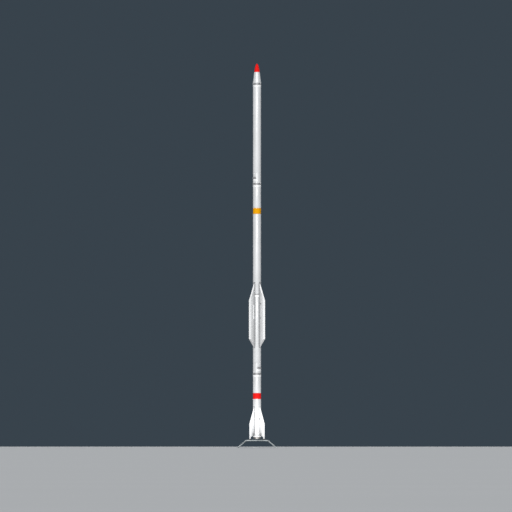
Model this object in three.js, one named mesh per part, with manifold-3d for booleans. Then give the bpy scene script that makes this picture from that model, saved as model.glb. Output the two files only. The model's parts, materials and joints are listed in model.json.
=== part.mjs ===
// Space rocket: a slender rocket of three stages, standing on a low open launch table.
// Millimetres, +Z up. The ground is z = 0 and the rocket's axis is the Z axis.
// The front, the side with both hatches, faces -Y. Fins stand at 45 degrees to it.
import * as THREE from 'three';
import { ConvexGeometry } from 'three/addons/geometries/ConvexGeometry.js';
import { mergeVertices } from 'three/addons/utils/BufferGeometryUtils.js';
import Module from 'manifold-3d';

const wasm = await Module();
wasm.setup();

// Driving dimensions of the rocket's body
const BODY_RADIUS = 220;
const ROUND_SIDES = 40;
const GAP = 0.3; // between pieces that touch

// Heights above the ground
const TABLE_TOP = 440;
const FIN_FOOT = 495;
const BOOSTER_END = 605;
const TAIL_SHOE_FROM = 700;
const TAIL_SHOE_TO = 2290;
const RED_BAND_FROM = 2695;
const RED_BAND_TO = 3025;
const FIRST_SEPARATION = 4125;
const MID_SHOE_FROM = 5500;
const MID_RING_FROM = 8415;
const MID_RING_TO = 8470;
const MID_SHOE_TO = 9130;
const ORANGE_BAND_FROM = 12870;
const ORANGE_BAND_TO = 13200;
const SECOND_SEPARATION = 14575;
const NOSE_SEPARATION = 20075;
const NOSE_RED_FROM = 20680;
const NOSE_TOP = 21136;

// Rings at the top of each stage, sockets inside them, and the skirt above them
const RING_HEIGHT = 110;
const NECK_RADIUS = 208;
const SOCKET_RADIUS = 200;
const INTERSTAGE_SOCKET_DEPTH = 560;
const NOSE_SOCKET_DEPTH = 380;
const FLANGE_PROUD = 4;
const FLANGE_CHAMFER = 8;
const CLAMP_PROUD = 8;
const CLAMP_CHAMFER = 22;
const MID_RING_RECESS = 3;
const LIP_HEIGHT = 55; // of the bright lip above each joint
const LIP_CHAMFERS = { lower: 6, upper: 8 };
const BOOSTER_SKIRT_DEPTH = 560;
const NOZZLE_ABOVE_FOOT = 8; // of the booster's nozzle, over the fins' feet
const SKIRT_HEIGHT = 555;
const SKIRT_INNER_RADIUS = 206;
const SPIGOT_RADIUS = 194;
const SPIGOT_BORE_RADIUS = 180;
const SPIGOT_LENGTH = 180;
const SPIGOT_BORE_TOP = 20; // above the separation plane

// Hatches, measured on the skirt that carries them
const HATCH_FROM = 220;
const HATCH_TO = 330;
const HATCH_THICKNESS = 8;
const HATCH_CLEARANCE = 6;
const HINGE_STANDOFF = 8; // of the hinge axis, outward from the skin and past the door's edge
const KNUCKLE_RADIUS = 6;
const PIN_RADIUS = 3;
const PIN_CLEARANCE = 0.5;
const DOOR_KNUCKLE_HALF = 21;
const LUG_FROM = 23;
const LUG_TO = 42;
const LUG_FOOT_WIDTH = 14;
const STRAP = { thickness: 5, reach: 34, footFrom: 12, footDepth: 13 };
// Angles in degrees. A hatch's hinge is on its side towards larger azimuths when hingeSide is 1.
const SERVICE_HATCH = { azimuth: 313, halfAngle: 41, hingeSide: 1 };
const PAYLOAD_HATCH = { azimuth: 220.5, halfAngle: 34.5, hingeSide: -1 };

// Table
const TABLE_HALF = 635;
const TABLE_CORNER = 40;
const TOP_THICKNESS = 20;
const TABLE_FRAME_FLOOR = 385;
const TABLE_BEAM = 60;
const FRAME_INSET = 8;
const DIAGONAL_INSET = 15; // from the exhaust hole's edge
const EXHAUST_HOLE_RADIUS = 250;
const FOOT_CENTRE = 1075;
const FOOT_HALF = 50;
const BASE_THICKNESS = 12;
const BASE_PLATE_RADIUS = 230;
const BASE_ARM_HALF = 40;
const LEG_WIDTH = 50;
const LEG_INSET = 12; // of a leg's centre line from the table's edge
const LEG_BRACKET = { from: 790, to: 940, halfWidth: 42, thickness: 12 };
const SUPPORT_SHOE = { from: 495, to: 612, halfWidth: 42 };

const FIN_AZIMUTHS = [45, 135, 225, 315];

// Colours and finishes
const WHITE_PAINT = { color: 0xe9ecef, roughness: 0.35, metalness: 0 };
const RED_PAINT = { color: 0xe6221b, roughness: 0.4, metalness: 0 };
const ORANGE_PAINT = { color: 0xf2a900, roughness: 0.4, metalness: 0 };
const LIGHT_METAL = { color: 0xd6dadd, roughness: 0.3, metalness: 0.7 };
const GREY_METAL = { color: 0x9a9fa3, roughness: 0.4, metalness: 0.8 };
const DARK_METAL = { color: 0x4b4d50, roughness: 0.5, metalness: 0.8 };
const TABLE_STEEL = { color: 0x98a2a4, roughness: 0.5, metalness: 0.6 };

// A closed round solid. The outline runs counter-clockwise through [radius, height] points.
function revolve(outline) {
  const points = outline.map(([radius, height]) => new THREE.Vector2(radius, height));
  return new THREE.LatheGeometry(points, ROUND_SIDES).rotateX(Math.PI / 2);
}

function cylinder(radius, from, to) {
  return revolve([[0, from], [radius, from], [radius, to], [0, to]]);
}

// A prism over a sector of a ring, between two angles in radians and two heights
function ringSector(innerRadius, outerRadius, startAngle, endAngle, from, to) {
  const shape = new THREE.Shape();
  shape.absarc(0, 0, outerRadius, startAngle, endAngle, false);
  shape.absarc(0, 0, innerRadius, endAngle, startAngle, true);
  shape.closePath();
  const steps = Math.max(2, Math.ceil(Math.abs(endAngle - startAngle) / 0.2));
  const options = { depth: to - from, bevelEnabled: false, curveSegments: steps };
  return new THREE.ExtrudeGeometry(shape, options).translate(0, 0, from);
}

function box(low, high) {
  const size = high.map((value, axis) => value - low[axis]);
  const centre = high.map((value, axis) => (value + low[axis]) / 2);
  return new THREE.BoxGeometry(...size).translate(...centre);
}

// Joins and cuts
function toSolid(geometry) {
  const bare = geometry.clone();
  bare.deleteAttribute('normal');
  bare.deleteAttribute('uv');
  const merged = mergeVertices(bare, 1e-3);
  const corners = merged.index.array;
  const kept = [];
  for (let i = 0; i < corners.length; i += 3) {
    const [a, b, c] = [corners[i], corners[i + 1], corners[i + 2]];
    if (a !== b && b !== c && c !== a) {
      kept.push(a, b, c);
    }
  }
  const vertProperties = new Float32Array(merged.attributes.position.array);
  const triVerts = new Uint32Array(kept);
  return new wasm.Manifold(new wasm.Mesh({ numProp: 3, vertProperties, triVerts }));
}

function toGeometry(solid) {
  const mesh = solid.getMesh();
  const geometry = new THREE.BufferGeometry();
  geometry.setAttribute('position', new THREE.BufferAttribute(mesh.vertProperties, mesh.numProp));
  geometry.setIndex(new THREE.BufferAttribute(mesh.triVerts, 1));
  return geometry;
}

function join(...geometries) {
  return toGeometry(geometries.map(toSolid).reduce((whole, piece) => whole.add(piece)));
}

function cut(geometry, ...tools) {
  const start = toSolid(geometry);
  return toGeometry(tools.map(toSolid).reduce((left, tool) => left.subtract(tool), start));
}

function trim(geometry, keptSpace) {
  return toGeometry(toSolid(geometry).intersect(toSolid(keptSpace)));
}

function addMesh(parent, name, geometry, finish, azimuth = 0) {
  const mesh = new THREE.Mesh(geometry, new THREE.MeshStandardMaterial(finish));
  mesh.name = name;
  mesh.rotation.z = THREE.MathUtils.degToRad(azimuth);
  parent.add(mesh);
}

// A plain length of body tube, closed inside
function bodySection(from, to) {
  return cylinder(BODY_RADIUS, from, to - GAP);
}

// The top of a stage: a section whose neck carries the two rings and whose socket is open above
function socketSection(from, separation, socketDepth) {
  const neckFrom = separation - 2 * RING_HEIGHT;
  const top = separation - GAP;
  return revolve([
    [0, from],
    [BODY_RADIUS, from],
    [BODY_RADIUS, neckFrom],
    [NECK_RADIUS, neckFrom],
    [NECK_RADIUS, top],
    [SOCKET_RADIUS, top],
    [SOCKET_RADIUS, separation - socketDepth],
    [0, separation - socketDepth],
  ]);
}

// A band around the neck with chamfered edges
function neckRing(from, to, proud, chamfer) {
  const inner = NECK_RADIUS + GAP;
  const outer = BODY_RADIUS + proud;
  return revolve([
    [inner, from],
    [BODY_RADIUS, from],
    [outer, from + chamfer],
    [outer, to - chamfer],
    [BODY_RADIUS, to],
    [inner, to],
    [inner, from],
  ]);
}

// The outer side of the lip that starts a piece above a joint, from its foot up
function lipOutline() {
  const outer = BODY_RADIUS + FLANGE_PROUD;
  return [
    [BODY_RADIUS, 0],
    [outer, LIP_CHAMFERS.lower],
    [outer, LIP_HEIGHT - LIP_CHAMFERS.upper],
    [BODY_RADIUS, LIP_HEIGHT],
  ];
}

function addNeckRings(parent, stageName, separation) {
  const flangeFrom = separation - 2 * RING_HEIGHT + GAP;
  const clampFrom = separation - RING_HEIGHT;
  const flange = neckRing(flangeFrom, clampFrom - GAP, FLANGE_PROUD, FLANGE_CHAMFER);
  const clamp = neckRing(clampFrom, separation - GAP, CLAMP_PROUD, CLAMP_CHAMFER);
  addMesh(parent, `${stageName}_flange_ring`, flange, LIGHT_METAL);
  addMesh(parent, `${stageName}_clamp_ring`, clamp, GREY_METAL);
}

// A bell nozzle with a blind throat. Its wall follows one curve that leaves the throat at
// THROAT_SLOPE and meets the exit at EXIT_SLOPE.
const THROAT_SLOPE = Math.tan(THREE.MathUtils.degToRad(30));
const EXIT_SLOPE = Math.tan(THREE.MathUtils.degToRad(10));
const BELL_STEPS = 4;

const BOOSTER_NOZZLE = {
  exit: FIN_FOOT + NOZZLE_ABOVE_FOOT,
  exitRadius: 180,
  throatRadius: 60,
  bellLength: 450,
  wall: 12,
  rimHeight: 110,
  blockRadius: 120,
  top: BOOSTER_END + BOOSTER_SKIRT_DEPTH - GAP,
};
// Measured from the separation plane under the stage
const STAGE_NOZZLE = {
  exit: -380,
  exitRadius: 155,
  throatRadius: 45,
  bellLength: 480,
  wall: 10,
  rimHeight: 30,
  blockRadius: 95,
  top: SKIRT_HEIGHT - GAP,
};

function bellNozzle({ exit, exitRadius, throatRadius, bellLength, wall, rimHeight, blockRadius, top }) {
  const run = throatRadius + bellLength * THROAT_SLOPE - exitRadius;
  const bend = run / (THROAT_SLOPE - EXIT_SLOPE);
  const curve = new THREE.QuadraticBezierCurve(
    new THREE.Vector2(throatRadius, exit + bellLength),
    new THREE.Vector2(exitRadius - bend * EXIT_SLOPE, exit + bend),
    new THREE.Vector2(exitRadius, exit),
  );
  const inside = curve.getPoints(BELL_STEPS).map((point) => [point.x, point.y]);
  const rimRadius = exitRadius + wall;
  const outside = inside
    .map(([radius, height]) => [radius + wall, height])
    .filter(([radius, height]) => height > exit + rimHeight + 1 && radius < rimRadius)
    .reverse();
  const throatTop = exit + bellLength + throatRadius;
  const blockFrom = exit + bellLength;
  return revolve([
    [0, throatTop],
    ...inside,
    [rimRadius, exit],
    [rimRadius, exit + rimHeight],
    ...outside,
    [blockRadius, blockFrom],
    [blockRadius, top],
    [0, top],
  ]);
}

// Fins. Each outline is a convex list of [radius, height, bevel of the edge that follows]. It runs
// clockwise, from the root's leading corner outward and down. The root edge is last, with no bevel.
const FIN_THICKNESS = 26;
const FIN_EDGE_THICKNESS = 3;
const FIN_ROOT_RADIUS = BODY_RADIUS + 3;
const FIN_SHOE_THICKNESS = 7;
const FIN_SHOE_HALF_ANGLE = THREE.MathUtils.degToRad(15);

const TAIL_FIN_OUTLINE = [
  [FIN_ROOT_RADIUS, TAIL_SHOE_TO, 75],
  [585, 1330, 80],
  [585, 559, 50],
  [FIN_ROOT_RADIUS, TAIL_SHOE_FROM, 0],
];
// The narrow foot at the tail fin's tip, which carries the rocket on its support shoe
const TAIL_FOOT_OUTLINE = [
  [500, TAIL_SHOE_FROM, 0],
  [585, TAIL_SHOE_FROM, 80],
  [585, FIN_FOOT, 0],
  [500, FIN_FOOT, 0],
];
const MID_FIN_OUTLINE = [
  [FIN_ROOT_RADIUS, 9085, 75],
  [622, 8107, 110],
  [622, 5995, 75],
  [FIN_ROOT_RADIUS, MID_SHOE_FROM, 0],
];
const MID_FAIRING = { from: 7095, to: 7975, reach: 290, halfWidth: 32, ridgeHalf: 22, slope: 40 };

// The point where two edges meet once each is moved inward by its bevel
function insetCorner(before, corner, after, bevelBefore, bevelAfter) {
  const first = new THREE.Vector2(corner[0] - before[0], corner[1] - before[1]).normalize();
  const second = new THREE.Vector2(after[0] - corner[0], after[1] - corner[1]).normalize();
  const along = (bevelAfter - bevelBefore * first.dot(second)) / first.cross(second);
  return [
    corner[0] + first.y * bevelBefore + first.x * along,
    corner[1] - first.x * bevelBefore + first.y * along,
  ];
}

// A blade of constant thickness, bevelled to a thin edge all round but at its root
function finBlade(outline) {
  const points = [];
  outline.forEach((corner, index) => {
    const before = outline[(index + outline.length - 1) % outline.length];
    const after = outline[(index + 1) % outline.length];
    const inner = insetCorner(before, corner, after, before[2], corner[2]);
    for (const side of [-0.5, 0.5]) {
      points.push(new THREE.Vector3(corner[0], side * FIN_EDGE_THICKNESS, corner[1]));
      points.push(new THREE.Vector3(inner[0], side * FIN_THICKNESS, inner[1]));
    }
  });
  return new ConvexGeometry(points);
}

// The curved plate at a fin's root, which follows the body
function finShoe(from, to) {
  const inner = BODY_RADIUS + 2 * GAP;
  const outer = inner + FIN_SHOE_THICKNESS;
  return ringSector(inner, outer, -FIN_SHOE_HALF_ANGLE, FIN_SHOE_HALF_ANGLE, from, to);
}

// A low fairing over the mid fin's root bracket, with sloped ends
function finFairing({ from, to, reach, halfWidth, ridgeHalf, slope }) {
  const points = [];
  for (const side of [-1, 1]) {
    points.push(new THREE.Vector3(FIN_ROOT_RADIUS, side * halfWidth, from));
    points.push(new THREE.Vector3(FIN_ROOT_RADIUS, side * halfWidth, to));
    points.push(new THREE.Vector3(reach, side * ridgeHalf, from + slope));
    points.push(new THREE.Vector3(reach, side * ridgeHalf, to - slope));
  }
  return new ConvexGeometry(points);
}

// Hatches. Skirt and hatch are made with the opening around +X.
const HINGE_RADIUS = BODY_RADIUS + HINGE_STANDOFF;
const HATCH_MIDDLE = (HATCH_FROM + HATCH_TO) / 2;

// Puts a piece made around the origin on the hinge axis, its X axis pointing out of the skin
function atHinge(geometry, { halfAngle, hingeSide }) {
  const angle = THREE.MathUtils.degToRad(halfAngle) + HINGE_STANDOFF / BODY_RADIUS;
  return geometry.translate(HINGE_RADIUS, 0, HATCH_MIDDLE).rotateZ(hingeSide * angle);
}

function roundBar(radius, from, to) {
  return new THREE.CylinderGeometry(radius, radius, to - from, 16)
    .rotateX(Math.PI / 2)
    .translate(0, 0, (from + to) / 2);
}

// Two numbers in ascending order
function ordered(a, b) {
  return a < b ? [a, b] : [b, a];
}

// The skirt under a stage, open above and below, with its hatch opening, hinge lugs and pin
function aftSkirt(hatch) {
  const tube = revolve([
    [SKIRT_INNER_RADIUS, 0],
    ...lipOutline(),
    [BODY_RADIUS, SKIRT_HEIGHT - GAP],
    [SKIRT_INNER_RADIUS, SKIRT_HEIGHT - GAP],
    [SKIRT_INNER_RADIUS, 0],
  ]);
  const openHalfAngle = THREE.MathUtils.degToRad(hatch.halfAngle) + HATCH_CLEARANCE / BODY_RADIUS;
  const opening = ringSector(
    SKIRT_INNER_RADIUS - 20,
    BODY_RADIUS + 20,
    -openHalfAngle,
    openHalfAngle,
    HATCH_FROM - HATCH_CLEARANCE,
    HATCH_TO + HATCH_CLEARANCE,
  );
  const pin = atHinge(roundBar(PIN_RADIUS, -LUG_TO, LUG_TO), hatch);
  const [near, far] = ordered(0, hatch.hingeSide * LUG_FOOT_WIDTH);
  const lugs = [-1, 1].flatMap((end) => {
    const [from, to] = ordered(end * LUG_FROM, end * LUG_TO);
    const knuckle = roundBar(KNUCKLE_RADIUS, from, to);
    const foot = box([-HINGE_STANDOFF - 2, near, from], [0, far, to]);
    return [atHinge(knuckle, hatch), atHinge(foot, hatch)];
  });
  return join(cut(tube, opening), pin, ...lugs);
}

// The hatch: a curved door, a strap over its edge, and the knuckle that turns on the pin
function hatchDoor(hatch) {
  const halfAngle = THREE.MathUtils.degToRad(hatch.halfAngle);
  const inner = BODY_RADIUS - HATCH_THICKNESS;
  const panel = ringSector(inner, BODY_RADIUS, -halfAngle, halfAngle, HATCH_FROM, HATCH_TO);
  const strapEnds = ordered(0, -hatch.hingeSide * STRAP.reach);
  const footEnds = ordered(-hatch.hingeSide * STRAP.footFrom, -hatch.hingeSide * STRAP.reach);
  const half = DOOR_KNUCKLE_HALF - 1;
  const strap = box([-STRAP.thickness, strapEnds[0], -half], [0, strapEnds[1], half]);
  const foot = box([-STRAP.footDepth, footEnds[0], -half], [1 - STRAP.thickness, footEnds[1], half]);
  const knuckle = roundBar(KNUCKLE_RADIUS, -DOOR_KNUCKLE_HALF, DOOR_KNUCKLE_HALF);
  const bore = roundBar(PIN_RADIUS + PIN_CLEARANCE, -LUG_TO, LUG_TO);
  const body = join(panel, ...[strap, foot, knuckle].map((piece) => atHinge(piece, hatch)));
  return cut(body, atHinge(bore, hatch));
}

// Each upper stage hangs its own nozzle inside the skirt and into the socket below
function addStageTail(parent, stageName, hatchName, hatch) {
  addMesh(parent, `${stageName}_nozzle`, bellNozzle(STAGE_NOZZLE), DARK_METAL);
  addMesh(parent, `${stageName}_aft_skirt`, aftSkirt(hatch), WHITE_PAINT, hatch.azimuth);
  addMesh(parent, hatchName, hatchDoor(hatch), GREY_METAL, hatch.azimuth);
}

const rocket = new THREE.Group();

// Launch table: a framed square top on four splayed legs over a flat crossed base
function squareShape(half) {
  const corner = half - TABLE_CORNER;
  const outline = [
    [corner, -half], [half, -corner], [half, corner], [corner, half],
    [-corner, half], [-half, corner], [-half, -corner], [-corner, -half],
  ];
  return new THREE.Shape(outline.map(([x, y]) => new THREE.Vector2(x, y)));
}

function extrude(shape, from, to) {
  const options = { depth: to - from, bevelEnabled: false, curveSegments: 24 };
  return new THREE.ExtrudeGeometry(shape, options).translate(0, 0, from);
}

function tableTop() {
  const shape = squareShape(TABLE_HALF);
  const hole = new THREE.Path();
  hole.absarc(0, 0, EXHAUST_HOLE_RADIUS, 0, 2 * Math.PI, true);
  shape.holes.push(hole);
  return extrude(shape, TABLE_TOP - TOP_THICKNESS, TABLE_TOP);
}

function tableFrame() {
  const low = TABLE_FRAME_FLOOR;
  const high = TABLE_TOP - TOP_THICKNESS - GAP;
  const outer = TABLE_HALF - FRAME_INSET;
  const inner = outer - TABLE_BEAM;
  const slab = extrude(squareShape(outer), low, high);
  const ring = cut(slab, box([-inner, -inner, low - 10], [inner, inner, high + 10]));
  const start = EXHAUST_HOLE_RADIUS + DIAGONAL_INSET;
  const end = inner * Math.SQRT2 + TABLE_BEAM / 2;
  const diagonals = FIN_AZIMUTHS.map((azimuth) =>
    box([start, -TABLE_BEAM / 2, low], [end, TABLE_BEAM / 2, high])
      .rotateZ(THREE.MathUtils.degToRad(azimuth)));
  const { from, to, halfWidth, thickness } = LEG_BRACKET;
  const brackets = FIN_AZIMUTHS.map((azimuth) =>
    box([from, -halfWidth, low], [to, halfWidth, low + thickness])
      .rotateZ(THREE.MathUtils.degToRad(azimuth)));
  return join(ring, ...diagonals, ...brackets);
}

function tableLeg() {
  const topRadius = (TABLE_HALF - LEG_INSET) * Math.SQRT2;
  const footRadius = FOOT_CENTRE * Math.SQRT2;
  const low = new THREE.Vector3(footRadius, 0, BASE_THICKNESS);
  const high = new THREE.Vector3(topRadius, 0, TABLE_FRAME_FLOOR);
  const lean = Math.atan2(low.x - high.x, high.z - low.z);
  const length = low.distanceTo(high) + 4 * LEG_WIDTH;
  const middle = low.clone().add(high).multiplyScalar(0.5);
  const bar = new THREE.BoxGeometry(LEG_WIDTH, LEG_WIDTH, length)
    .rotateY(-lean)
    .translate(middle.x, 0, middle.z);
  const reach = footRadius + 200;
  const space = box([0, -reach, BASE_THICKNESS + GAP], [reach, reach, TABLE_FRAME_FLOOR - GAP]);
  return trim(bar, space);
}

function tableBase() {
  const centre = cylinder(BASE_PLATE_RADIUS, 0, BASE_THICKNESS);
  const arms = FIN_AZIMUTHS.map((azimuth) =>
    box([0, -BASE_ARM_HALF, 0], [FOOT_CENTRE * Math.SQRT2, BASE_ARM_HALF, BASE_THICKNESS])
      .rotateZ(THREE.MathUtils.degToRad(azimuth)));
  const feet = [[1, 1], [-1, 1], [-1, -1], [1, -1]].map(([x, y]) =>
    box([-FOOT_HALF, -FOOT_HALF, 0], [FOOT_HALF, FOOT_HALF, BASE_THICKNESS])
      .translate(x * FOOT_CENTRE, y * FOOT_CENTRE, 0));
  return join(centre, ...arms, ...feet);
}

function supportShoe() {
  const { from, to, halfWidth } = SUPPORT_SHOE;
  return box([from, -halfWidth, TABLE_TOP + GAP], [to, halfWidth, FIN_FOOT - GAP]);
}

const table = new THREE.Group();
addMesh(table, 'table_top', tableTop(), TABLE_STEEL);
addMesh(table, 'table_frame', tableFrame(), TABLE_STEEL);
addMesh(table, 'table_base', tableBase(), TABLE_STEEL);
FIN_AZIMUTHS.forEach((azimuth, index) => {
  addMesh(table, `table_leg_${index + 1}`, tableLeg(), TABLE_STEEL, azimuth);
  addMesh(table, `support_shoe_${index + 1}`, supportShoe(), DARK_METAL, azimuth);
});
rocket.add(table);

// Booster
function boosterCase() {
  const skirtInside = BOOSTER_END + BOOSTER_SKIRT_DEPTH;
  return revolve([
    [0, skirtInside],
    [SKIRT_INNER_RADIUS, skirtInside],
    [SKIRT_INNER_RADIUS, BOOSTER_END],
    [BODY_RADIUS, BOOSTER_END],
    [BODY_RADIUS, RED_BAND_FROM - GAP],
    [0, RED_BAND_FROM - GAP],
  ]);
}

function tailFin() {
  const shoe = finShoe(TAIL_SHOE_FROM, TAIL_SHOE_TO);
  return join(finBlade(TAIL_FIN_OUTLINE), finBlade(TAIL_FOOT_OUTLINE), shoe);
}

const booster = new THREE.Group();
addMesh(booster, 'booster_nozzle', bellNozzle(BOOSTER_NOZZLE), DARK_METAL);
addMesh(booster, 'booster_case', boosterCase(), WHITE_PAINT);
addMesh(booster, 'booster_red_band', bodySection(RED_BAND_FROM, RED_BAND_TO), RED_PAINT);
addMesh(
  booster,
  'booster_interstage',
  socketSection(RED_BAND_TO, FIRST_SEPARATION, INTERSTAGE_SOCKET_DEPTH),
  WHITE_PAINT,
);
addNeckRings(booster, 'booster', FIRST_SEPARATION);
FIN_AZIMUTHS.forEach((azimuth, index) => {
  addMesh(booster, `tail_fin_${index + 1}`, tailFin(), WHITE_PAINT, azimuth);
});
rocket.add(booster);

// Sustainer. Its pieces are placed by height above its own foot, the first separation plane.
function aboveFirst(height) {
  return height - FIRST_SEPARATION;
}

function midRing() {
  const from = aboveFirst(MID_RING_FROM);
  return cylinder(BODY_RADIUS - MID_RING_RECESS, from, aboveFirst(MID_RING_TO) - GAP);
}

function midFin() {
  const shoe = finShoe(MID_SHOE_FROM, MID_SHOE_TO);
  const whole = join(finBlade(MID_FIN_OUTLINE), shoe, finFairing(MID_FAIRING));
  return whole.translate(0, 0, -FIRST_SEPARATION);
}

const sustainer = new THREE.Group();
sustainer.position.z = FIRST_SEPARATION;
addStageTail(sustainer, 'sustainer', 'service_hatch', SERVICE_HATCH);
const sustainerSections = [
  // name, from, to, finish
  ['sustainer_aft_case', FIRST_SEPARATION + SKIRT_HEIGHT, MID_RING_FROM, WHITE_PAINT],
  ['sustainer_forward_case', MID_RING_TO, ORANGE_BAND_FROM, WHITE_PAINT],
  ['sustainer_orange_band', ORANGE_BAND_FROM, ORANGE_BAND_TO, ORANGE_PAINT],
];
for (const [name, from, to, finish] of sustainerSections) {
  addMesh(sustainer, name, bodySection(aboveFirst(from), aboveFirst(to)), finish);
}
addMesh(sustainer, 'sustainer_mid_ring', midRing(), GREY_METAL);
addMesh(
  sustainer,
  'sustainer_interstage',
  socketSection(aboveFirst(ORANGE_BAND_TO), aboveFirst(SECOND_SEPARATION), INTERSTAGE_SOCKET_DEPTH),
  WHITE_PAINT,
);
addNeckRings(sustainer, 'sustainer', aboveFirst(SECOND_SEPARATION));
FIN_AZIMUTHS.forEach((azimuth, index) => {
  addMesh(sustainer, `mid_fin_${index + 1}`, midFin(), WHITE_PAINT, azimuth);
});
rocket.add(sustainer);

// Upper stage
const upperStage = new THREE.Group();
upperStage.position.z = SECOND_SEPARATION;
const upperTop = NOSE_SEPARATION - SECOND_SEPARATION;
addStageTail(upperStage, 'upper', 'payload_hatch', PAYLOAD_HATCH);
addMesh(
  upperStage,
  'upper_case',
  socketSection(SKIRT_HEIGHT, upperTop, NOSE_SOCKET_DEPTH),
  WHITE_PAINT,
);
addNeckRings(upperStage, 'upper', upperTop);
rocket.add(upperStage);

// Nose: a blunt power curve of revolution, its tip in red, on a spigot in the upper stage's socket
const NOSE_LENGTH = NOSE_TOP - NOSE_SEPARATION;
const NOSE_POWER = 0.44;
const NOSE_STEPS = 10;

function noseRadius(height) {
  return BODY_RADIUS * ((NOSE_LENGTH - height) / NOSE_LENGTH) ** NOSE_POWER;
}

// Points of the nose's outline from one height up to another, even in radius
function noseOutline(from, to) {
  const start = noseRadius(from);
  const end = noseRadius(to);
  const steps = Math.ceil(NOSE_STEPS * (start - end) / BODY_RADIUS);
  return Array.from({ length: steps + 1 }, (_, index) => {
    const radius = THREE.MathUtils.lerp(start, end, index / steps);
    return [radius, NOSE_LENGTH * (1 - (radius / BODY_RADIUS) ** (1 / NOSE_POWER))];
  });
}

const redFrom = NOSE_RED_FROM - NOSE_SEPARATION;
const noseCone = revolve([
  [0, SPIGOT_BORE_TOP],
  [SPIGOT_BORE_RADIUS, SPIGOT_BORE_TOP],
  [SPIGOT_BORE_RADIUS, -SPIGOT_LENGTH],
  [SPIGOT_RADIUS, -SPIGOT_LENGTH],
  [SPIGOT_RADIUS, 0],
  ...lipOutline(),
  ...noseOutline(LIP_HEIGHT, redFrom - GAP),
  [0, redFrom - GAP],
]);
const noseTip = revolve([[0, redFrom], ...noseOutline(redFrom, NOSE_LENGTH)]);

const nose = new THREE.Group();
nose.position.z = NOSE_SEPARATION;
addMesh(nose, 'nose_cone', noseCone, WHITE_PAINT);
addMesh(nose, 'nose_tip', noseTip, RED_PAINT);
rocket.add(nose);

export default rocket;
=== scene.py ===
"""Space rocket on its launch table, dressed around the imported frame. Metres, +Z up, front at -Y."""

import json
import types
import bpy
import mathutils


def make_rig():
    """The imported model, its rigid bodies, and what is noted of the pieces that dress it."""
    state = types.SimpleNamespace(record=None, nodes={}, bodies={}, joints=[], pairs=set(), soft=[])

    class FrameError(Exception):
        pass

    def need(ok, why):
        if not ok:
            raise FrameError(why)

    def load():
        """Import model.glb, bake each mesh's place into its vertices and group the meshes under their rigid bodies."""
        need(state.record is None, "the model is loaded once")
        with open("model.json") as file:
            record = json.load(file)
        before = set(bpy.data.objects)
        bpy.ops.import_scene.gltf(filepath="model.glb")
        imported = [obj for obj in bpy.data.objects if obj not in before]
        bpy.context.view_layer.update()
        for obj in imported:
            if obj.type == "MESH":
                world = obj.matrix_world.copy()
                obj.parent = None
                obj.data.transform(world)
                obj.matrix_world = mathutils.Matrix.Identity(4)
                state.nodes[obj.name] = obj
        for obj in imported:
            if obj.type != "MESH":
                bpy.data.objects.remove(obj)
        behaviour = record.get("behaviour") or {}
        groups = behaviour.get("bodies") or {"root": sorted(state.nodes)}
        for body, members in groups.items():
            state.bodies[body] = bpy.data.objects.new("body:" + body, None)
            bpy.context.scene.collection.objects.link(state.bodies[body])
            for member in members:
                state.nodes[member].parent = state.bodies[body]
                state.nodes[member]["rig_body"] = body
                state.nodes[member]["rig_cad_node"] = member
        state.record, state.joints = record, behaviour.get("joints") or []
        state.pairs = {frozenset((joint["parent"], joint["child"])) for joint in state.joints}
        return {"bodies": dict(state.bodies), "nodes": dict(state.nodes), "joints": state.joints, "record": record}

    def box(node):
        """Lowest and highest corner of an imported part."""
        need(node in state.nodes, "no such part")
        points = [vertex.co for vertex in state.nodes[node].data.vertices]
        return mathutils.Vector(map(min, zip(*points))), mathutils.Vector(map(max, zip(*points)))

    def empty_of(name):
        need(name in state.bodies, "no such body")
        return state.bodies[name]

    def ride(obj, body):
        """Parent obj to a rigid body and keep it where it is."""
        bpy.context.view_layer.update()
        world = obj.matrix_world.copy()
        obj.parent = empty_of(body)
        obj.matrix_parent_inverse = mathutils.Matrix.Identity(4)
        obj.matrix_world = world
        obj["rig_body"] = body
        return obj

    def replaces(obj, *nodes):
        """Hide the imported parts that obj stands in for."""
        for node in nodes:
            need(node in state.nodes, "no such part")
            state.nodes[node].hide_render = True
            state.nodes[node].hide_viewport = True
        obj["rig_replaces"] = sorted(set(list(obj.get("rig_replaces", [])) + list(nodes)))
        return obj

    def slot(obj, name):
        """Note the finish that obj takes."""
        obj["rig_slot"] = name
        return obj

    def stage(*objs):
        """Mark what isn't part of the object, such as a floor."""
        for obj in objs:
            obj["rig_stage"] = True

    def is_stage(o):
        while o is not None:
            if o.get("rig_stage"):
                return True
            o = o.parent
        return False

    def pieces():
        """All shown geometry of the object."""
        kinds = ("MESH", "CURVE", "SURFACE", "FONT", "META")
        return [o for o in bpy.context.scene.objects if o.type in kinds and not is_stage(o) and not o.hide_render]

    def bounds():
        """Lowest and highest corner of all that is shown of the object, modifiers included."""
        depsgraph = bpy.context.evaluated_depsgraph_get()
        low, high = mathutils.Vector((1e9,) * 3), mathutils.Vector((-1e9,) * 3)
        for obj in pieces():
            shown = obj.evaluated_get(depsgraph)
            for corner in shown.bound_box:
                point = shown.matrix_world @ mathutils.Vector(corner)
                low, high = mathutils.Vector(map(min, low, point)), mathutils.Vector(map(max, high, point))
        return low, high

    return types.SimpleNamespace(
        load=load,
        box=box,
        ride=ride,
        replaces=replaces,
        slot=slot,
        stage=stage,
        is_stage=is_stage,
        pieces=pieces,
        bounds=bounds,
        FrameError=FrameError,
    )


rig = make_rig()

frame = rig.load()

import json
import random
from collections import namedtuple
from math import atan2, ceil, cos, degrees, pi, radians, sin, sqrt, tan

import bmesh
import bpy
from mathutils import Matrix, Vector

cad_low, cad_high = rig.bounds()
random.seed(7)


# Sizes read from the frame

def span(node):
    """Lowest and highest z of a CAD node."""
    low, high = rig.box(node)
    return low.z, high.z


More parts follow.
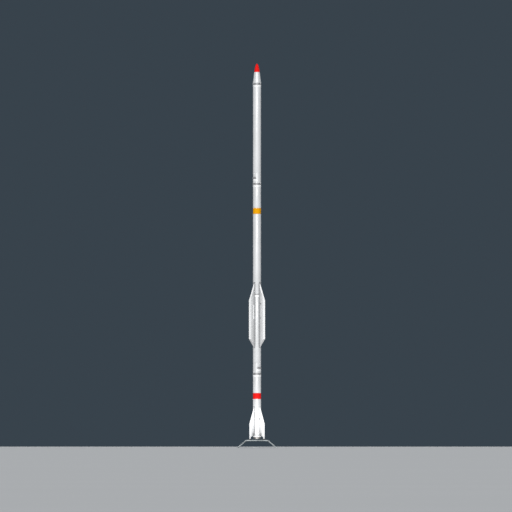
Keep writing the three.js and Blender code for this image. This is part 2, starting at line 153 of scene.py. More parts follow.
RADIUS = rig.box("booster_red_band")[1].x
GAP = 0.0003
FIRST_PLANE = span("sustainer_aft_skirt")[0]
SECOND_PLANE = span("upper_aft_skirt")[0]
NOSE_PLANE = span("upper_clamp_ring")[1] + GAP
NOSE_TOP = span("nose_tip")[1]
DECK_BOTTOM, DECK_TOP = span("table_top")
FRAME_LOW, FRAME_HIGH = span("table_frame")
BASE_TOP = span("table_base")[1]
FIN_FOOT, TAIL_FIN_TOP = span("tail_fin_1")

# Sizes that the frame's boxes don't give, as in the solids

NECK_RADIUS = 0.208
SOCKET_RADIUS = 0.200
RING_HEIGHT = 0.110
INTERSTAGE_SOCKET_DEPTH = 0.560
NOSE_SOCKET_DEPTH = 0.380
NOZZLE_BAY_DEPTH = 0.560
FLANGE_PROUD = 0.004
CLAMP_PROUD = 0.008
LIP_HEIGHT = 0.055
SKIRT_INNER_RADIUS = 0.206
SPIGOT_RADIUS = 0.194
SPIGOT_BORE_RADIUS = 0.180
SPIGOT_LENGTH = 0.180

HATCH_LOW = 0.220
HATCH_HIGH = 0.330
HATCH_MIDDLE = (HATCH_LOW + HATCH_HIGH) / 2
HATCH_THICKNESS = 0.008
HATCH_CLEARANCE = 0.006
HATCH_CORNER = 0.014
HINGE_STANDOFF = 0.008
KNUCKLE_RADIUS = 0.006
PIN_RADIUS = 0.003
PIN_CLEARANCE = 0.0005
DOOR_KNUCKLE_HALF = 0.021
LUG_FROM = 0.023
LUG_TO = 0.042

# Angles in degrees. The hinge is towards larger azimuths where side is 1.
Hatch = namedtuple("Hatch", "node stage body plane azimuth half_angle side")
SERVICE_HATCH = Hatch("service_hatch", "sustainer", "sustainer", FIRST_PLANE, 313, 41, 1)
PAYLOAD_HATCH = Hatch("payload_hatch", "upper", "upper_stage", SECOND_PLANE, 220.5, 34.5, -1)

FIN_AZIMUTHS = (45, 135, 225, 315)
FIN_THICKNESS = 0.026
FIN_EDGE = 0.003
FIN_ROOT = RADIUS + 0.003
SHOE_BACK = RADIUS + 2 * GAP
SHOE_THICKNESS = 0.007
SHOE_HALF_ANGLE = radians(15)
TAIL_ROOT_LOW = 0.700
TAIL_SHOE_SPAN = (TAIL_ROOT_LOW, TAIL_FIN_TOP)
MID_SHOE_SPAN = span("mid_fin_1")

TABLE_HALF = 0.635
DECK_CORNER = 0.040
HOLE_RADIUS = 0.250
BEAM = 0.060
FOOT_CENTRE = 1.075
FOOT_HALF = 0.050
LEG_WIDTH = 0.050
GUSSET_HALF = 0.004

ROUND_SIDES = 144
SOFT_EDGE = 0.0012
WELD_RIPPLE = 0.006


# Mesh building. A part is a pair of vertices and faces.

class Shape:
    """A part gathered from others."""

    def __init__(self, part=((), ()), place=Matrix()):
        self.verts, self.faces = [], []
        self.add(part, place)

    def __iter__(self):
        return iter((self.verts, self.faces))

    def add(self, part, place=Matrix()):
        verts, faces = part
        start = len(self.verts)
        self.verts += [place @ Vector(vert) for vert in verts]
        self.faces += [tuple(start + index for index in face) for face in faces]
        return self


def add_object(name, data):
    made = bpy.data.objects.new(name, data)
    bpy.context.scene.collection.objects.link(made)
    return made


def piece(name, part, body, slot, material, node=None, sharp=32):
    """A finished object on a body, smooth but for edges sharper than the angle. It replaces the node."""
    verts, faces = part
    mesh = bpy.data.meshes.new(name)
    mesh.from_pydata(verts, [], faces)
    built = bmesh.new()
    built.from_mesh(mesh)
    loose = [vert for vert in built.verts if not vert.link_faces]
    bmesh.ops.delete(built, geom=loose, context="VERTS")
    bmesh.ops.recalc_face_normals(built, faces=built.faces)
    built.to_mesh(mesh)
    built.free()
    mesh.shade_smooth()
    mesh.set_sharp_from_angle(angle=radians(sharp))
    mesh.materials.append(material)
    made = add_object(name, mesh)
    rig.slot(made, slot)
    if node:
        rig.replaces(made, node)
    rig.ride(made, body)


def spread(low, high, count):
    """Even numbers from low to high, count steps apart."""
    return [low + (high - low) * index / count for index in range(count + 1)]


def polar(radius, angle, *height):
    return radius * cos(angle), radius * sin(angle), *height


def strips(rings, closed=False):
    """Faces between each ring of vertex numbers and the next, where a ring of one is a pole."""
    faces = []
    for lower, upper in zip(rings, rings[1:] + (rings[:1] if closed else [])):
        for step in range(max(len(lower), len(upper))):
            corners = [ring[(step + ahead) % len(ring)]
                       for ring, ahead in ((lower, 0), (lower, 1), (upper, 1), (upper, 0))]
            faces.append(tuple(dict.fromkeys(corners)))
    return faces


def soften(outline, radius=SOFT_EDGE, closed=False):
    """Rounds an outline's corners with three points each, but for the ends of an open one."""
    result = []
    for index, corner in enumerate(outline):
        here = Vector(corner)
        before = Vector(outline[index - 1]) - here
        after = Vector(outline[(index + 1) % len(outline)]) - here
        end = not closed and index in (0, len(outline) - 1)
        if end or before.angle(after) > radians(165):
            result.append(here)
            continue
        reach = min(radius, 0.4 * before.length, 0.4 * after.length)
        first = here + before.normalized() * reach
        last = here + after.normalized() * reach
        result += [first, here * 0.5 + (first + last) * 0.25, last]
    return result


def skinned(rings, closed=False):
    """A part with faces between each ring of points and the next."""
    verts, numbers = [], []
    for ring in rings:
        numbers.append(range(len(verts), len(verts) + len(ring)))
        verts += ring
    return verts, strips(numbers, closed)


def lathe(outline, sides=ROUND_SIDES, closed=False):
    """A solid of revolution about Z from (radius, height) points."""
    angles = [2 * pi * step / sides for step in range(sides)]
    return skinned([[polar(radius, angle, height) for angle in angles[:1 if radius < 1e-6 else sides]]
                    for radius, height in outline], closed)


def rod(radius, low, high, sides, edge=0.0006):
    return lathe(soften([(0, low), (radius, low), (radius, high), (0, high)], edge), sides)


def drum(radius, low, high, edge=SOFT_EDGE):
    return rod(radius, low, high, ROUND_SIDES, edge)


def hoop(inner, outer, low, high, edge, sides=ROUND_SIDES):
    outline = [(inner, low), (outer, low), (outer, high), (inner, high)]
    return lathe(soften(outline, edge, True), sides, True)


def prism(points, low, high, lean=0.0):
    """A closed prism over an XY polygon. It may lean, with its top that much further along X."""
    count = len(points)
    ends = (0.0, low), (lean, high)
    verts, sides = skinned([[(x + shift, y, z) for x, y in points] for shift, z in ends])
    return verts, [range(count), range(count, 2 * count), *sides]


def sector(inner, outer, half_angle, low, high, steps):
    """A prism over a sector of a ring, around +X."""
    angles = spread(-half_angle, half_angle, steps)
    points = [polar(outer, angle) for angle in angles] + [polar(inner, angle) for angle in angles[::-1]]
    return prism(points, low, high)


def block(corner, opposite):
    (x0, x1), (y0, y1), (z0, z1) = (sorted(pair) for pair in zip(corner, opposite))
    return prism([(x0, y0), (x1, y0), (x1, y1), (x0, y1)], z0, z1)


def unload(built):
    """A bmesh as a part."""
    built.verts.index_update()
    verts = [vert.co.copy() for vert in built.verts]
    faces = [[vert.index for vert in face.verts] for face in built.faces]
    built.free()
    return verts, faces


def hull(points):
    """The convex hull of points on both sides of the XZ plane, given as (x, distance from it, z)."""
    built = bmesh.new()
    for x, half, z in points:
        for side in (-1, 1):
            built.verts.new((x, side * half, z))
    bmesh.ops.convex_hull(built, input=built.verts)
    bmesh.ops.dissolve_limit(built, angle_limit=radians(0.5), verts=built.verts, edges=built.edges)
    return unload(built)


def bevelled(part, offset, segments=2, angle=25):
    """The same solid with its sharp edges rounded."""
    built = bmesh.new()
    verts, faces = part
    made = [built.verts.new(vert) for vert in verts]
    for face in faces:
        built.faces.new([made[index] for index in face])
    bmesh.ops.recalc_face_normals(built, faces=built.faces)
    sharp = [edge for edge in built.edges if edge.calc_face_angle(0) > radians(angle)]
    bmesh.ops.bevel(
        built, geom=sharp, offset=offset, segments=segments, profile=0.6,
        affect="EDGES", clamp_overlap=True)
    return unload(built)


def bar(corner, opposite, bevel, segments=2):
    return bevelled(block(corner, opposite), bevel, segments)


def turned(azimuth, radius=0.0, height=0.0):
    """Places a part made around +X at that azimuth, distance from the axis and height."""
    turn = Matrix.Rotation(radians(azimuth), 4, "Z")
    return turn @ Matrix.Translation((radius, 0, height))


def facing_out(azimuth, radius, height):
    """Places a part made along +Z so that it points away from the axis."""
    return turned(azimuth, radius, height) @ Matrix.Rotation(pi / 2, 4, "Y")


def copies(part, places):
    shape = Shape()
    for place in places:
        shape.add(part, place)
    return shape


def ring_of(part, count, radius, height, start=0.0, place=facing_out):
    """Copies of a part all round the axis, turned or facing out."""
    return copies(part, [place(start + 360 * index / count, radius, height) for index in range(count)])


def hex_bolt(size, height):
    """A hex head on a washer, standing on z = 0."""
    flat = [polar(size, radians(60 * corner)) for corner in range(6)]
    part = Shape(rod(size * 1.25, -0.002, size * 0.16, 20, size * 0.05))
    part.add(bevelled(prism(flat, size * 0.1, height), size * 0.08, 1))
    return part.add(rod(size * 0.5, height - size * 0.1, height + size * 0.12, 12, size * 0.08))


def cap_screw(radius, height):
    """A low round head with a socket, standing on z = 0."""
    return lathe([
        (0, -0.002), (radius, -0.002), (radius, height * 0.55), (radius * 0.8, height),
        (radius * 0.42, height), (radius * 0.38, height * 0.3), (0, height * 0.25),
    ], 12)


def weld(points, radius=0.004):
    """A weld bead: a tube with small ripples along a line of points."""
    shape = Shape()
    for start, end in zip(points, points[1:]):
        line = Vector(end) - Vector(start)
        steps = max(2, round(line.length / WELD_RIPPLE))
        turn = line.to_track_quat("Z", "Y").to_matrix().to_4x4()
        outline = [(0, 0)]
        for step in range(steps + 1):
            swell = 1 + 0.12 * (-1) ** step + random.uniform(-0.08, 0.08)
            outline.append((radius * swell, line.length * step / steps))
        outline.append((0, line.length))
        shape.add(lathe(outline, 8), Matrix.Translation(start) @ turn)
    return shape


# Materials

class Graph:
    """A material with its nodes, made a step at a time. Textures follow the object's own place."""

    def __init__(self, name, specular=0.5):
        self.material = bpy.data.materials.new(name)
        self.material.use_nodes = True
        self.tree = self.material.node_tree
        self.tree.nodes.clear()
        self.shader = self.node("BsdfPrincipled", {"Specular IOR Level": specular})
        self.node("OutputMaterial", {"Surface": self.shader.outputs[0]})
        self.place = self.node("TexCoord").outputs["Object"]

    def node(self, kind, inputs=None, **settings):
        made = self.tree.nodes.new("ShaderNode" + kind)
        for key, value in settings.items():
            setattr(made, key, value)
        self.feed(made, inputs or {})
        return made

    def feed(self, node, inputs):
        """Sets a node's inputs to numbers and colours, or links them."""
        for key, value in inputs.items():
            socket = node.inputs[key]
            if isinstance(value, bpy.types.NodeSocket):
                self.tree.links.new(value, socket)
            else:
                socket.default_value = (*value, 1) if socket.type == "RGBA" else value

    def stretched(self, scale):
        """The place on the object, scaled along each axis."""
        return self.node("Mapping", {"Vector": self.place, "Scale": scale}).outputs[0]

    def noise(self, scale, detail, stretch=(1, 1, 1)):
        inputs = {"Vector": self.stretched(stretch), "Scale": scale, "Detail": detail}
        return self.node("TexNoise", inputs).outputs["Fac"]

    def axis(self, name):
        return self.node("SeparateXYZ", {0: self.place}).outputs[name]

    def radius(self):
        """The distance from the rocket's axis."""
        flat = self.stretched((1, 1, 0))
        return self.node("VectorMath", {0: flat}, operation="LENGTH").outputs["Value"]

    def ranged(self, value, from_low, from_high, to_low=0.0, to_high=1.0):
        inputs = {"Value": value, "From Min": from_low, "From Max": from_high,
                  "To Min": to_low, "To Max": to_high}
        return self.node("MapRange", inputs, interpolation_type="SMOOTHSTEP").outputs[0]

    def cloud(self, scale, detail, *limits, stretch=(1, 1, 1)):
        return self.ranged(self.noise(scale, detail, stretch), *limits)

    def math(self, operation, value, *others):
        for other in others or (0.0,):
            value = self.node("Math", {0: value, 1: other}, operation=operation).outputs[0]
        return value

    def times(self, *factors):
        return self.math("MULTIPLY", *factors)

    def bump(self, height, strength, distance):
        inputs = {"Strength": strength, "Distance": distance, "Height": height}
        self.feed(self.shader, {"Normal": self.node("Bump", inputs).outputs[0]})

    def finish(self, color, layers, roughness, metallic=0.0, coat=0.0):
        """Lays each (mask, colour) over the base colour in turn, and sets the shader."""
        for mask, over in layers:
            inputs = {"Factor": mask, "A": color, "B": over}
            color = self.node("Mix", inputs, data_type="RGBA").outputs["Result"]
        self.feed(self.shader, {"Base Color": color, "Roughness": roughness, "Metallic": metallic,
                                "Coat Weight": coat, "Coat Roughness": 0.12})
        return self.material


JOINT_HEIGHTS = [
    FIRST_PLANE, SECOND_PLANE, NOSE_PLANE,
    *span("sustainer_mid_ring"), *span("sustainer_orange_band"), *span("booster_red_band"),
]
GRIME_REACH = 0.035


def joint_grime(graph):
    """A mask of thin dusty bands at the joints, broken up by noise."""
    z = graph.axis("Z")
    distances = [graph.math("ABSOLUTE", graph.math("SUBTRACT", z, height)) for height in JOINT_HEIGHTS]
    bands = [graph.ranged(distance, 0.0, GRIME_REACH, 1.0, 0.0) for distance in distances]
    return graph.times(graph.math("MAXIMUM", 0.0, *bands), graph.cloud(14, 5, 0.35, 0.75))


def fin_corner(graph):
    """A mask of the corners beside the fins' roots: 1 at 45 degrees, 0 at the front and the sides."""
    corner = graph.math("ABSOLUTE", graph.times(graph.axis("X"), graph.axis("Y")))
    corner = graph.math("DIVIDE", corner, graph.math("POWER", graph.radius(), 2.0))
    return graph.math("POWER", graph.times(corner, 2.0), 1.6)


# Each extra layer of a paint is a mask and a colour, and each one here is painted shade beside the fins

def tail_root_shade(graph):
    """Grey painted shade near the ground, darkest at the root of each tail fin's lower edge."""
    z, radius = graph.axis("Z"), graph.radius()
    body = graph.times(graph.ranged(z, 1.45, 0.85, 0.0, 0.55), fin_corner(graph),
                       graph.ranged(radius, 0.50, 0.25))
    blade = graph.times(graph.ranged(radius, 0.236, 0.246), graph.ranged(radius, 0.46, 0.29),
                        graph.ranged(z, 0.98, 0.76))
    foot = graph.ranged(z, 0.68, 0.56, 0.0, 0.25)
    clouds = graph.cloud(9, 5, 0.2, 0.7, 0.75, 1.0)
    return graph.times(graph.math("MAXIMUM", body, blade, foot), clouds, 0.9), (0.09, 0.09, 0.09)


def mid_fin_corner_shade(graph):
    """Painted shade on the body between the mid fins, in the corners beside their roots."""
    z = graph.axis("Z")
    low, high = MID_SHOE_SPAN
    along = graph.times(graph.ranged(z, low, low + 0.2), graph.ranged(z, high, high - 0.2))
    clouds = graph.cloud(5, 5, 0.2, 0.7, 0.7, 1.0, stretch=(1, 1, 0.2))
    return graph.times(along, fin_corner(graph), clouds, 0.55), (0.10, 0.10, 0.10)


def fin_shade(graph):
    """Darker towards a fin's root."""
    return graph.ranged(graph.radius(), 0.56, 0.23, 0.0, 0.5), (0.28, 0.28, 0.28)


def paint(name, clean, faded, grime=(0.36, 0.35, 0.33), roughness=0.5, coat=0.2, specular=0.6,
          extra=None):
    """Glossy paint: cloudy fade, faint run marks down the body, dust at joints, fine orange peel."""
    graph = Graph(name, specular)
    layers = [
        (graph.cloud(1.3, 5, 0.35, 0.7), faded),
        (graph.cloud(26, 4, 0.52, 0.78, 0.0, 0.5, stretch=(1, 1, 0.03)), faded),
        (graph.cloud(240, 2, 0.70, 0.78, 0.0, 0.35), grime),
        (graph.times(joint_grime(graph), 0.45), grime),
    ]
    if extra:
        layers.append(extra(graph))
    graph.bump(graph.noise(420, 2), 0.10, 0.0006)
    worn = graph.cloud(5, 6, 0.3, 0.7, roughness - 0.06, roughness + 0.10)
    return graph.finish(clean, layers, worn, coat=coat)


def brushed(name, light, dark, roughness, metallic, stretch=(1, 1, 60)):
    """Metal brushed or turned along the body's rings."""
    graph = Graph(name)
    lines = graph.noise(18, 3, stretch)
    graph.bump(lines, 0.12, 0.0004)
    layers = [(graph.ranged(lines, 0.35, 0.65), light),
              (graph.times(graph.cloud(7, 4, 0.35, 0.7), 0.35), dark)]
    worn = graph.ranged(lines, 0.3, 0.7, roughness - 0.07, roughness + 0.09)
    return graph.finish(dark, layers, worn, metallic)


def heat_tinted(name, cold, hot, rim_height, fade):
    """Nozzle metal that goes from bare grey to brown and straw towards its rim."""
    graph = Graph(name)
    warmth = graph.ranged(graph.axis("Z"), rim_height + fade, rim_height)
    patches = graph.cloud(11, 6, 0.3, 0.7, stretch=(1, 1, 0.4))
    layers = [(graph.times(warmth, graph.ranged(patches, 0.0, 1.0, 0.45, 1.0)), hot),
              (graph.cloud(38, 5, 0.5, 0.8, 0.0, 0.5), (0.05, 0.045, 0.04))]
    graph.bump(graph.noise(30, 2, (1, 1, 40)), 0.2, 0.0006)
    return graph.finish(cold, layers, graph.ranged(patches, 0.0, 1.0, 0.34, 0.52), 0.6)


def steel_paint(name, clean, worn, rust, rust_amount):
    """Thick grey paint on welded steel, rubbed and lightly rusted."""
    graph = Graph(name)
    clouds = graph.cloud(4, 6, 0.3, 0.7)
    layers = [(clouds, worn),
              (graph.cloud(34, 8, 0.62, 0.70, 0.0, rust_amount), rust),
              (graph.cloud(110, 3, 0.45, 0.75, 0.0, 0.25), (0.36, 0.34, 0.31))]
    graph.bump(graph.noise(180, 4), 0.25, 0.0008)
    return graph.finish(clean, layers, graph.ranged(clouds, 0.0, 1.0, 0.42, 0.62), 0.15)


# The name is followed by the clean and the faded colour, and the dusty one where it isn't the usual
PLAIN = (0.68, 0.685, 0.69), (0.63, 0.635, 0.635)
GREY_GRIME = (0.3, 0.3, 0.29)
MATT = {"roughness": 0.6, "coat": 0.0, "specular": 0.05}
WHITE = paint("white_gloss_paint", *PLAIN, roughness=0.42, specular=0.9, extra=mid_fin_corner_shade)
TAIL_WHITE = paint("tail_white_paint", *PLAIN, roughness=0.42, specular=0.9, extra=tail_root_shade)
FIN_WHITE = paint("fin_paint", (0.80, 0.805, 0.81), (0.76, 0.765, 0.765), extra=fin_shade)
TAIL_FIN_WHITE = paint("tail_fin_paint", (0.86, 0.865, 0.87), (0.82, 0.82, 0.82), extra=tail_root_shade)
# Darker shoe paints as painted shade along the tail fin roots, one pair of opposite roots more shaded than the other
TAIL_ROOT_LIGHT_SHADE = paint("tail_root_light_shade", (0.58, 0.585, 0.59), (0.53, 0.53, 0.53), extra=tail_root_shade)
TAIL_ROOT_DARK_SHADE = paint("tail_root_dark_shade", (0.33, 0.335, 0.34), (0.30, 0.30, 0.30), extra=tail_root_shade)
EDGE_WHITE = paint("fin_edge_paint", (0.97, 0.97, 0.97), (0.93, 0.93, 0.92), (0.55, 0.53, 0.5))
# Grey: painted shade on the mid fins' downward-facing trailing edge caps, and the own grey of two upper fairing
# brackets
GREY_BRACKET_AND_EDGE_SHADE = paint("grey_bracket_and_edge_shade", (0.52, 0.52, 0.525), (0.46, 0.46, 0.465), GREY_GRIME)
# Dark grey: painted shade as the mid fin shoes and the fairing bases along the fin roots, and the connector cover's
# own colour
GREY_COVER_AND_ROOT_SHADE = paint("grey_cover_and_root_shade", (0.28, 0.285, 0.29), (0.25, 0.255, 0.26), (0.18, 0.17, 0.16))
CAP_GREY = paint("fairing_cap_paint", (0.50, 0.505, 0.51), (0.46, 0.46, 0.465), GREY_GRIME)
RED = paint("red_gloss_paint", (0.80, 0.012, 0.010), (0.74, 0.012, 0.010), (0.26, 0.03, 0.02), **MATT)
ORANGE = paint("orange_gloss_paint", (0.80, 0.36, 0.002), (0.73, 0.32, 0.002), (0.32, 0.16, 0.03), **MATT)

# The light and the dark colour, the roughness and how metallic it is
FLANGE = brushed("flange_coating", (0.92, 0.92, 0.92), (0.84, 0.84, 0.84), 0.45, 0.05)
CLAMP = brushed("clamp_aluminium", (0.47, 0.47, 0.47), (0.34, 0.34, 0.345), 0.56, 0.55)
HATCH = brushed("hatch_anodised", (0.42, 0.42, 0.42), (0.33, 0.33, 0.335), 0.46, 0.2)
GROOVE = brushed("groove_anodised", (0.31, 0.31, 0.31), (0.24, 0.24, 0.245), 0.46, 0.2)
SCREW = brushed("screw_steel", (0.60, 0.60, 0.61), (0.42, 0.42, 0.43), 0.32, 0.85)
WELD = brushed("weld_bead", (0.30, 0.31, 0.31), (0.18, 0.19, 0.19), 0.5, 0.4, (1, 1, 1))

# The cold and the hot colour, the rim's height and how far above it the tint ends
NOZZLE = heat_tinted("nozzle_steel", (0.30, 0.295, 0.29), (0.27, 0.25, 0.23), FIN_FOOT, 0.35)
UPPER_NOZZLE = heat_tinted("upper_nozzle_steel", (0.40, 0.40, 0.41), (0.36, 0.33, 0.31), 3.7, 12.0)

# The clean, the rubbed and the rust colour, and how much rust there is
TABLE = steel_paint("table_paint", (0.24, 0.268, 0.272), (0.20, 0.224, 0.228), (0.13, 0.07, 0.04), 0.5)
LEG = steel_paint("leg_paint", (0.46, 0.50, 0.505), (0.40, 0.44, 0.445), (0.20, 0.11, 0.06), 0.5)
SHOE = steel_paint("shoe_paint", (0.045, 0.047, 0.05), (0.03, 0.031, 0.033), (0.10, 0.06, 0.04), 0.3)


# Body sections and joints

JOINT_SCREW = cap_screw(0.0055, 0.0016)


def solid_section(node, body, slot="white_paint", material=WHITE):
    piece(f"{node}_skin", drum(RADIUS, *span(node)), body, slot, material, node)


def flange_ring(stage, body):
    """The bright ring below a joint, with a groove and a row of screws."""
    node = f"{stage}_flange_ring"
    low, high = span(node)
    inner, outer = NECK_RADIUS + GAP, RADIUS + FLANGE_PROUD
    groove = low + 0.074
    outline = [
        (inner, low), (RADIUS, low), (outer, low + 0.008),
        (outer, groove), (outer - 0.002, groove + 0.002), (outer - 0.002, groove + 0.006),
        (outer, groove + 0.008), (outer, high - 0.008), (RADIUS, high), (inner, high),
    ]
    piece(f"{node}_turned", lathe(soften(outline, 0.0008, True), closed=True),
          body, "flange_metal", FLANGE, node)
    screws = ring_of(cap_screw(0.0075, 0.004), 36, outer, low + 0.040, 5)
    piece(f"{stage}_flange_screws", screws, body, "clamp_metal", SCREW)


def clamp_ring(stage, body):
    """The dark clamp band: a ridged ring whose halves are drawn together by two pairs of bolts."""
    node = f"{stage}_clamp_ring"
    low, high = span(node)
    inner, outer = NECK_RADIUS + GAP, RADIUS + CLAMP_PROUD
    middle = (low + high) / 2
    outline = [
        (inner, low), (RADIUS - 0.002, low), (outer, low + 0.022), (outer, middle - 0.012),
        (outer - 0.004, middle - 0.008), (outer - 0.004, middle + 0.008),
        (outer, middle + 0.012), (outer, high - 0.022), (RADIUS - 0.002, high), (inner, high),
    ]
    piece(f"{node}_band", lathe(soften(outline, 0.0015, True), closed=True),
          body, "clamp_metal", CLAMP, node)
    ear = bar((-0.006, -0.010, -0.026), (0.016, 0.010, 0.026), 0.003)
    bolt = rod(0.006, -0.042, 0.042, 16)
    lying = Matrix.Rotation(pi / 2, 4, "X")
    fittings = Shape()
    for azimuth in (120, 300):
        for side in (-1, 1):
            fittings.add(ear, turned(azimuth + side * 7.5, outer, middle))
            fittings.add(bolt, turned(azimuth, outer + 0.006, middle + side * 0.010) @ lying)
    piece(f"{stage}_clamp_bolts", fittings, body, "clamp_metal", SCREW)


def stage_top(stage, node, body, plane, depth):
    """The top of a stage: the neck with its open socket, and the two rings round it."""
    low = span(node)[0]
    neck, top = plane - 2 * RING_HEIGHT, plane - GAP
    outline = [
        (0, low), (RADIUS, low), (RADIUS, neck), (NECK_RADIUS, neck), (NECK_RADIUS, top),
        (SOCKET_RADIUS, top), (SOCKET_RADIUS, plane - depth), (0, plane - depth),
    ]
    piece(f"{node}_skin", lathe(soften(outline)), body, "white_paint", WHITE, node)
    flange_ring(stage, body)
    clamp_ring(stage, body)


def joint_screws(stage, body, *joints):
    """A row of flush screws on both sides of each joint, given as (height, distance)."""
    shape = Shape()
    for height, distance in joints:
        for side in (-1, 1):
            shape.add(ring_of(JOINT_SCREW, 30, RADIUS, height + side * distance, 3))
    piece(f"{stage}_joint_screws", shape, body, "clamp_metal", SCREW)


def lip_outline(plane):
    outer = RADIUS + FLANGE_PROUD
    return [
        (RADIUS, plane), (outer, plane + 0.006), (outer, plane + LIP_HEIGHT - 0.008),
        (RADIUS, plane + LIP_HEIGHT),
    ]


# Nozzles

Bell = namedtuple("Bell", "exit_radius throat_radius length wall rim_height block_radius")
BOOSTER_BELL = Bell(0.180, 0.060, 0.450, 0.012, 0.110, 0.120)
STAGE_BELL = Bell(0.155, 0.045, 0.480, 0.010, 0.030, 0.095)
THROAT_SLOPE = tan(radians(30))
EXIT_SLOPE = tan(radians(10))
BELL_STEPS = 24
HOOP_HALF = 0.006


def bell_outline(bell, exit_z, top):
    """A bell nozzle's outline. Its wall is a parabola from the throat to the exit."""
    throat = bell.throat_radius
    throat_z = exit_z + bell.length
    bend = (throat + bell.length * THROAT_SLOPE - bell.exit_radius) / (THROAT_SLOPE - EXIT_SLOPE)
    control = Vector((bell.exit_radius - bend * EXIT_SLOPE, exit_z + bend))
    start = Vector((throat, throat_z))
    end = Vector((bell.exit_radius, exit_z))
    inside = [tuple(start * (1 - share) ** 2 + control * (2 * share * (1 - share)) + end * share * share)
              for share in spread(0, 1, BELL_STEPS)]
    rim = bell.exit_radius + bell.wall
    rim_top = exit_z + bell.rim_height
    outside = [(r + bell.wall, z) for r, z in reversed(inside) if z > rim_top + 0.004]
    return [
        (0, throat_z + throat), (throat * 0.7, throat_z + throat * 0.7), *inside,
        (rim - 0.002, exit_z), (rim, exit_z + 0.002), (rim, rim_top),
        *outside, (bell.block_radius, throat_z), (bell.block_radius, top), (0, top),
    ]


def booster_nozzle():
    low, high = span("booster_nozzle")
    bell = Shape(lathe(bell_outline(BOOSTER_BELL, low, high)))
    for height in (low + 0.012, low + 0.098):
        bell.add(hoop(0.190, 0.1935, height - HOOP_HALF, height + HOOP_HALF, 0.0015))
    piece("booster_nozzle_bell", bell, "booster", "nozzle_metal", NOZZLE, "booster_nozzle")


def stage_nozzle(node, body):
    sides = 96
    low, high = span(node)
    outline = bell_outline(STAGE_BELL, low, high)
    bell = Shape(lathe(outline, sides))
    for height in (low + 0.14, low + 0.26, low + 0.36):
        radius, z = min(outline[BELL_STEPS + 5:-3], key=lambda point: abs(point[1] - height))
        bell.add(hoop(radius - 0.004, radius + 0.005, z - HOOP_HALF, z + HOOP_HALF, 0.0015, sides))
    piece(f"{node}_bell", bell, body, "nozzle_metal", UPPER_NOZZLE, node)


# Skirts and hatches. A hatch's grid has WIDE cells across and HIGH up.

GRID_STEP = radians(2.5)
BORDER = 0.016
WIDE = 48
HIGH = 16


def hatch_size(place, margin):
    """Half width and half height of a hatch's outline, grown by a margin."""
    half_width = RADIUS * radians(place.half_angle)
    return half_width + margin, (HATCH_HIGH - HATCH_LOW) / 2 + margin


def hatch_grid(place, margin):
    """Even angles and heights over a hatch's outline, grown by a margin."""
    half_width, half_height = hatch_size(place, margin)
    edge = half_width / RADIUS
    middle = place.plane + HATCH_MIDDLE
    return spread(-edge, edge, WIDE), spread(middle - half_height, middle + half_height, HIGH)


def hatch_rim():
    """(row, column) of the points round a hatch's grid, anticlockwise from the lower left."""
    return [*((0, column) for column in range(WIDE)), *((row, WIDE) for row in range(HIGH)),
            *((HIGH, column) for column in range(WIDE, 0, -1)), *((row, 0) for row in range(HIGH, 0, -1))]


def rounded_edge(across, up, half_width, half_height, corner):
    """The nearest point on a rounded rectangle's outline."""
    inner = Vector((max(corner - half_width, min(half_width - corner, across)),
                    max(corner - half_height, min(half_height - corner, up))))
    away = Vector((across, up)) - inner
    return inner + away.normalized() * corner


def curved_wall(place, angles, heights, outer, inner, hole_row=None):
    """A wall round the axis as one closed mesh, with the outer radius at each height.

    It ends at a hatch's rounded outline, or goes right round and has it as an opening from hole_row up.
    """
    opening = hole_row is not None
    margin, border, ease = (HATCH_CLEARANCE, BORDER, SOFT_EDGE) if opening else (0.0, 0.0, -SOFT_EDGE)
    rows, columns = len(heights), len(angles)
    verts = [polar(radius, angle, z) for radii in (outer, [inner] * rows)
             for radius, z in zip(radii, heights) for angle in angles]

    def index(layer, row, column):
        return (layer * rows + row) * columns + column % columns

    faces = []
    for layer in (0, 1):
        for row in range(rows - 1):
            solid = not opening or not hole_row <= row < hole_row + HIGH
            first, last = 0 if solid else WIDE, columns if opening else columns - 1
            for column in range(first, last):
                faces.append([index(layer, row + up, column + across)
                              for up, across in ((0, 0), (0, 1), (1, 1), (1, 0))])
    for row in (0, rows - 1) if opening else ():
        faces += strips([[index(layer, row, column) for column in range(columns)] for layer in (0, 1)])
    half_width, half_height = hatch_size(place, margin)
    rim = hatch_rim()
    loops = []
    for radius, eased in ((RADIUS, ease), (RADIUS - SOFT_EDGE, 0.0), (inner, 0.0)):
        loops.append(range(len(verts), len(verts) + len(rim)))
        for row, column in rim:
            across = (2 * column / WIDE - 1) * (half_width + border)
            up = (2 * row / HIGH - 1) * (half_height + border)
            across, up = rounded_edge(
                across, up, half_width + eased, half_height + eased, HATCH_CORNER + margin)
            verts.append(polar(radius, across / RADIUS, place.plane + HATCH_MIDDLE + up))
    front, back = ([index(layer, row + (hole_row or 0), column) for row, column in rim] for layer in (0, 1))
    return Shape((verts, faces + strips([front, *loops, back])), turned(place.azimuth))


def skirt_skin(node, place):
    """The skirt's wall: a tube with a round-cornered opening and a lip."""
    top = span(node)[1]
    angles, hole = hatch_grid(place, HATCH_CLEARANCE + BORDER)
    edge = angles[-1]
    angles += spread(edge, 2 * pi - edge, round(2 * (pi - edge) / GRID_STEP))[1:-1]
    lip = {z: radius for radius, z in lip_outline(place.plane)}
    outer = [*lip.values(), *(RADIUS for _ in hole), RADIUS, RADIUS - SOFT_EDGE]
    heights = [*lip, *hole, top - SOFT_EDGE, top]
    return curved_wall(place, angles, heights, outer, SKIRT_INNER_RADIUS, len(lip))


def door_panel(place):
    """The hatch's curved panel with round corners and a soft edge."""
    angles, heights = hatch_grid(place, -BORDER)
    return curved_wall(place, angles, heights, [RADIUS] * len(heights), RADIUS - HATCH_THICKNESS)


def hinge_frame(place):
    """Where the hinge axis is: x outward from the skin there, y along it."""
    angle = place.azimuth + place.side * (place.half_angle + degrees(HINGE_STANDOFF / RADIUS))
    return turned(angle, RADIUS + HINGE_STANDOFF, place.plane + HATCH_MIDDLE)


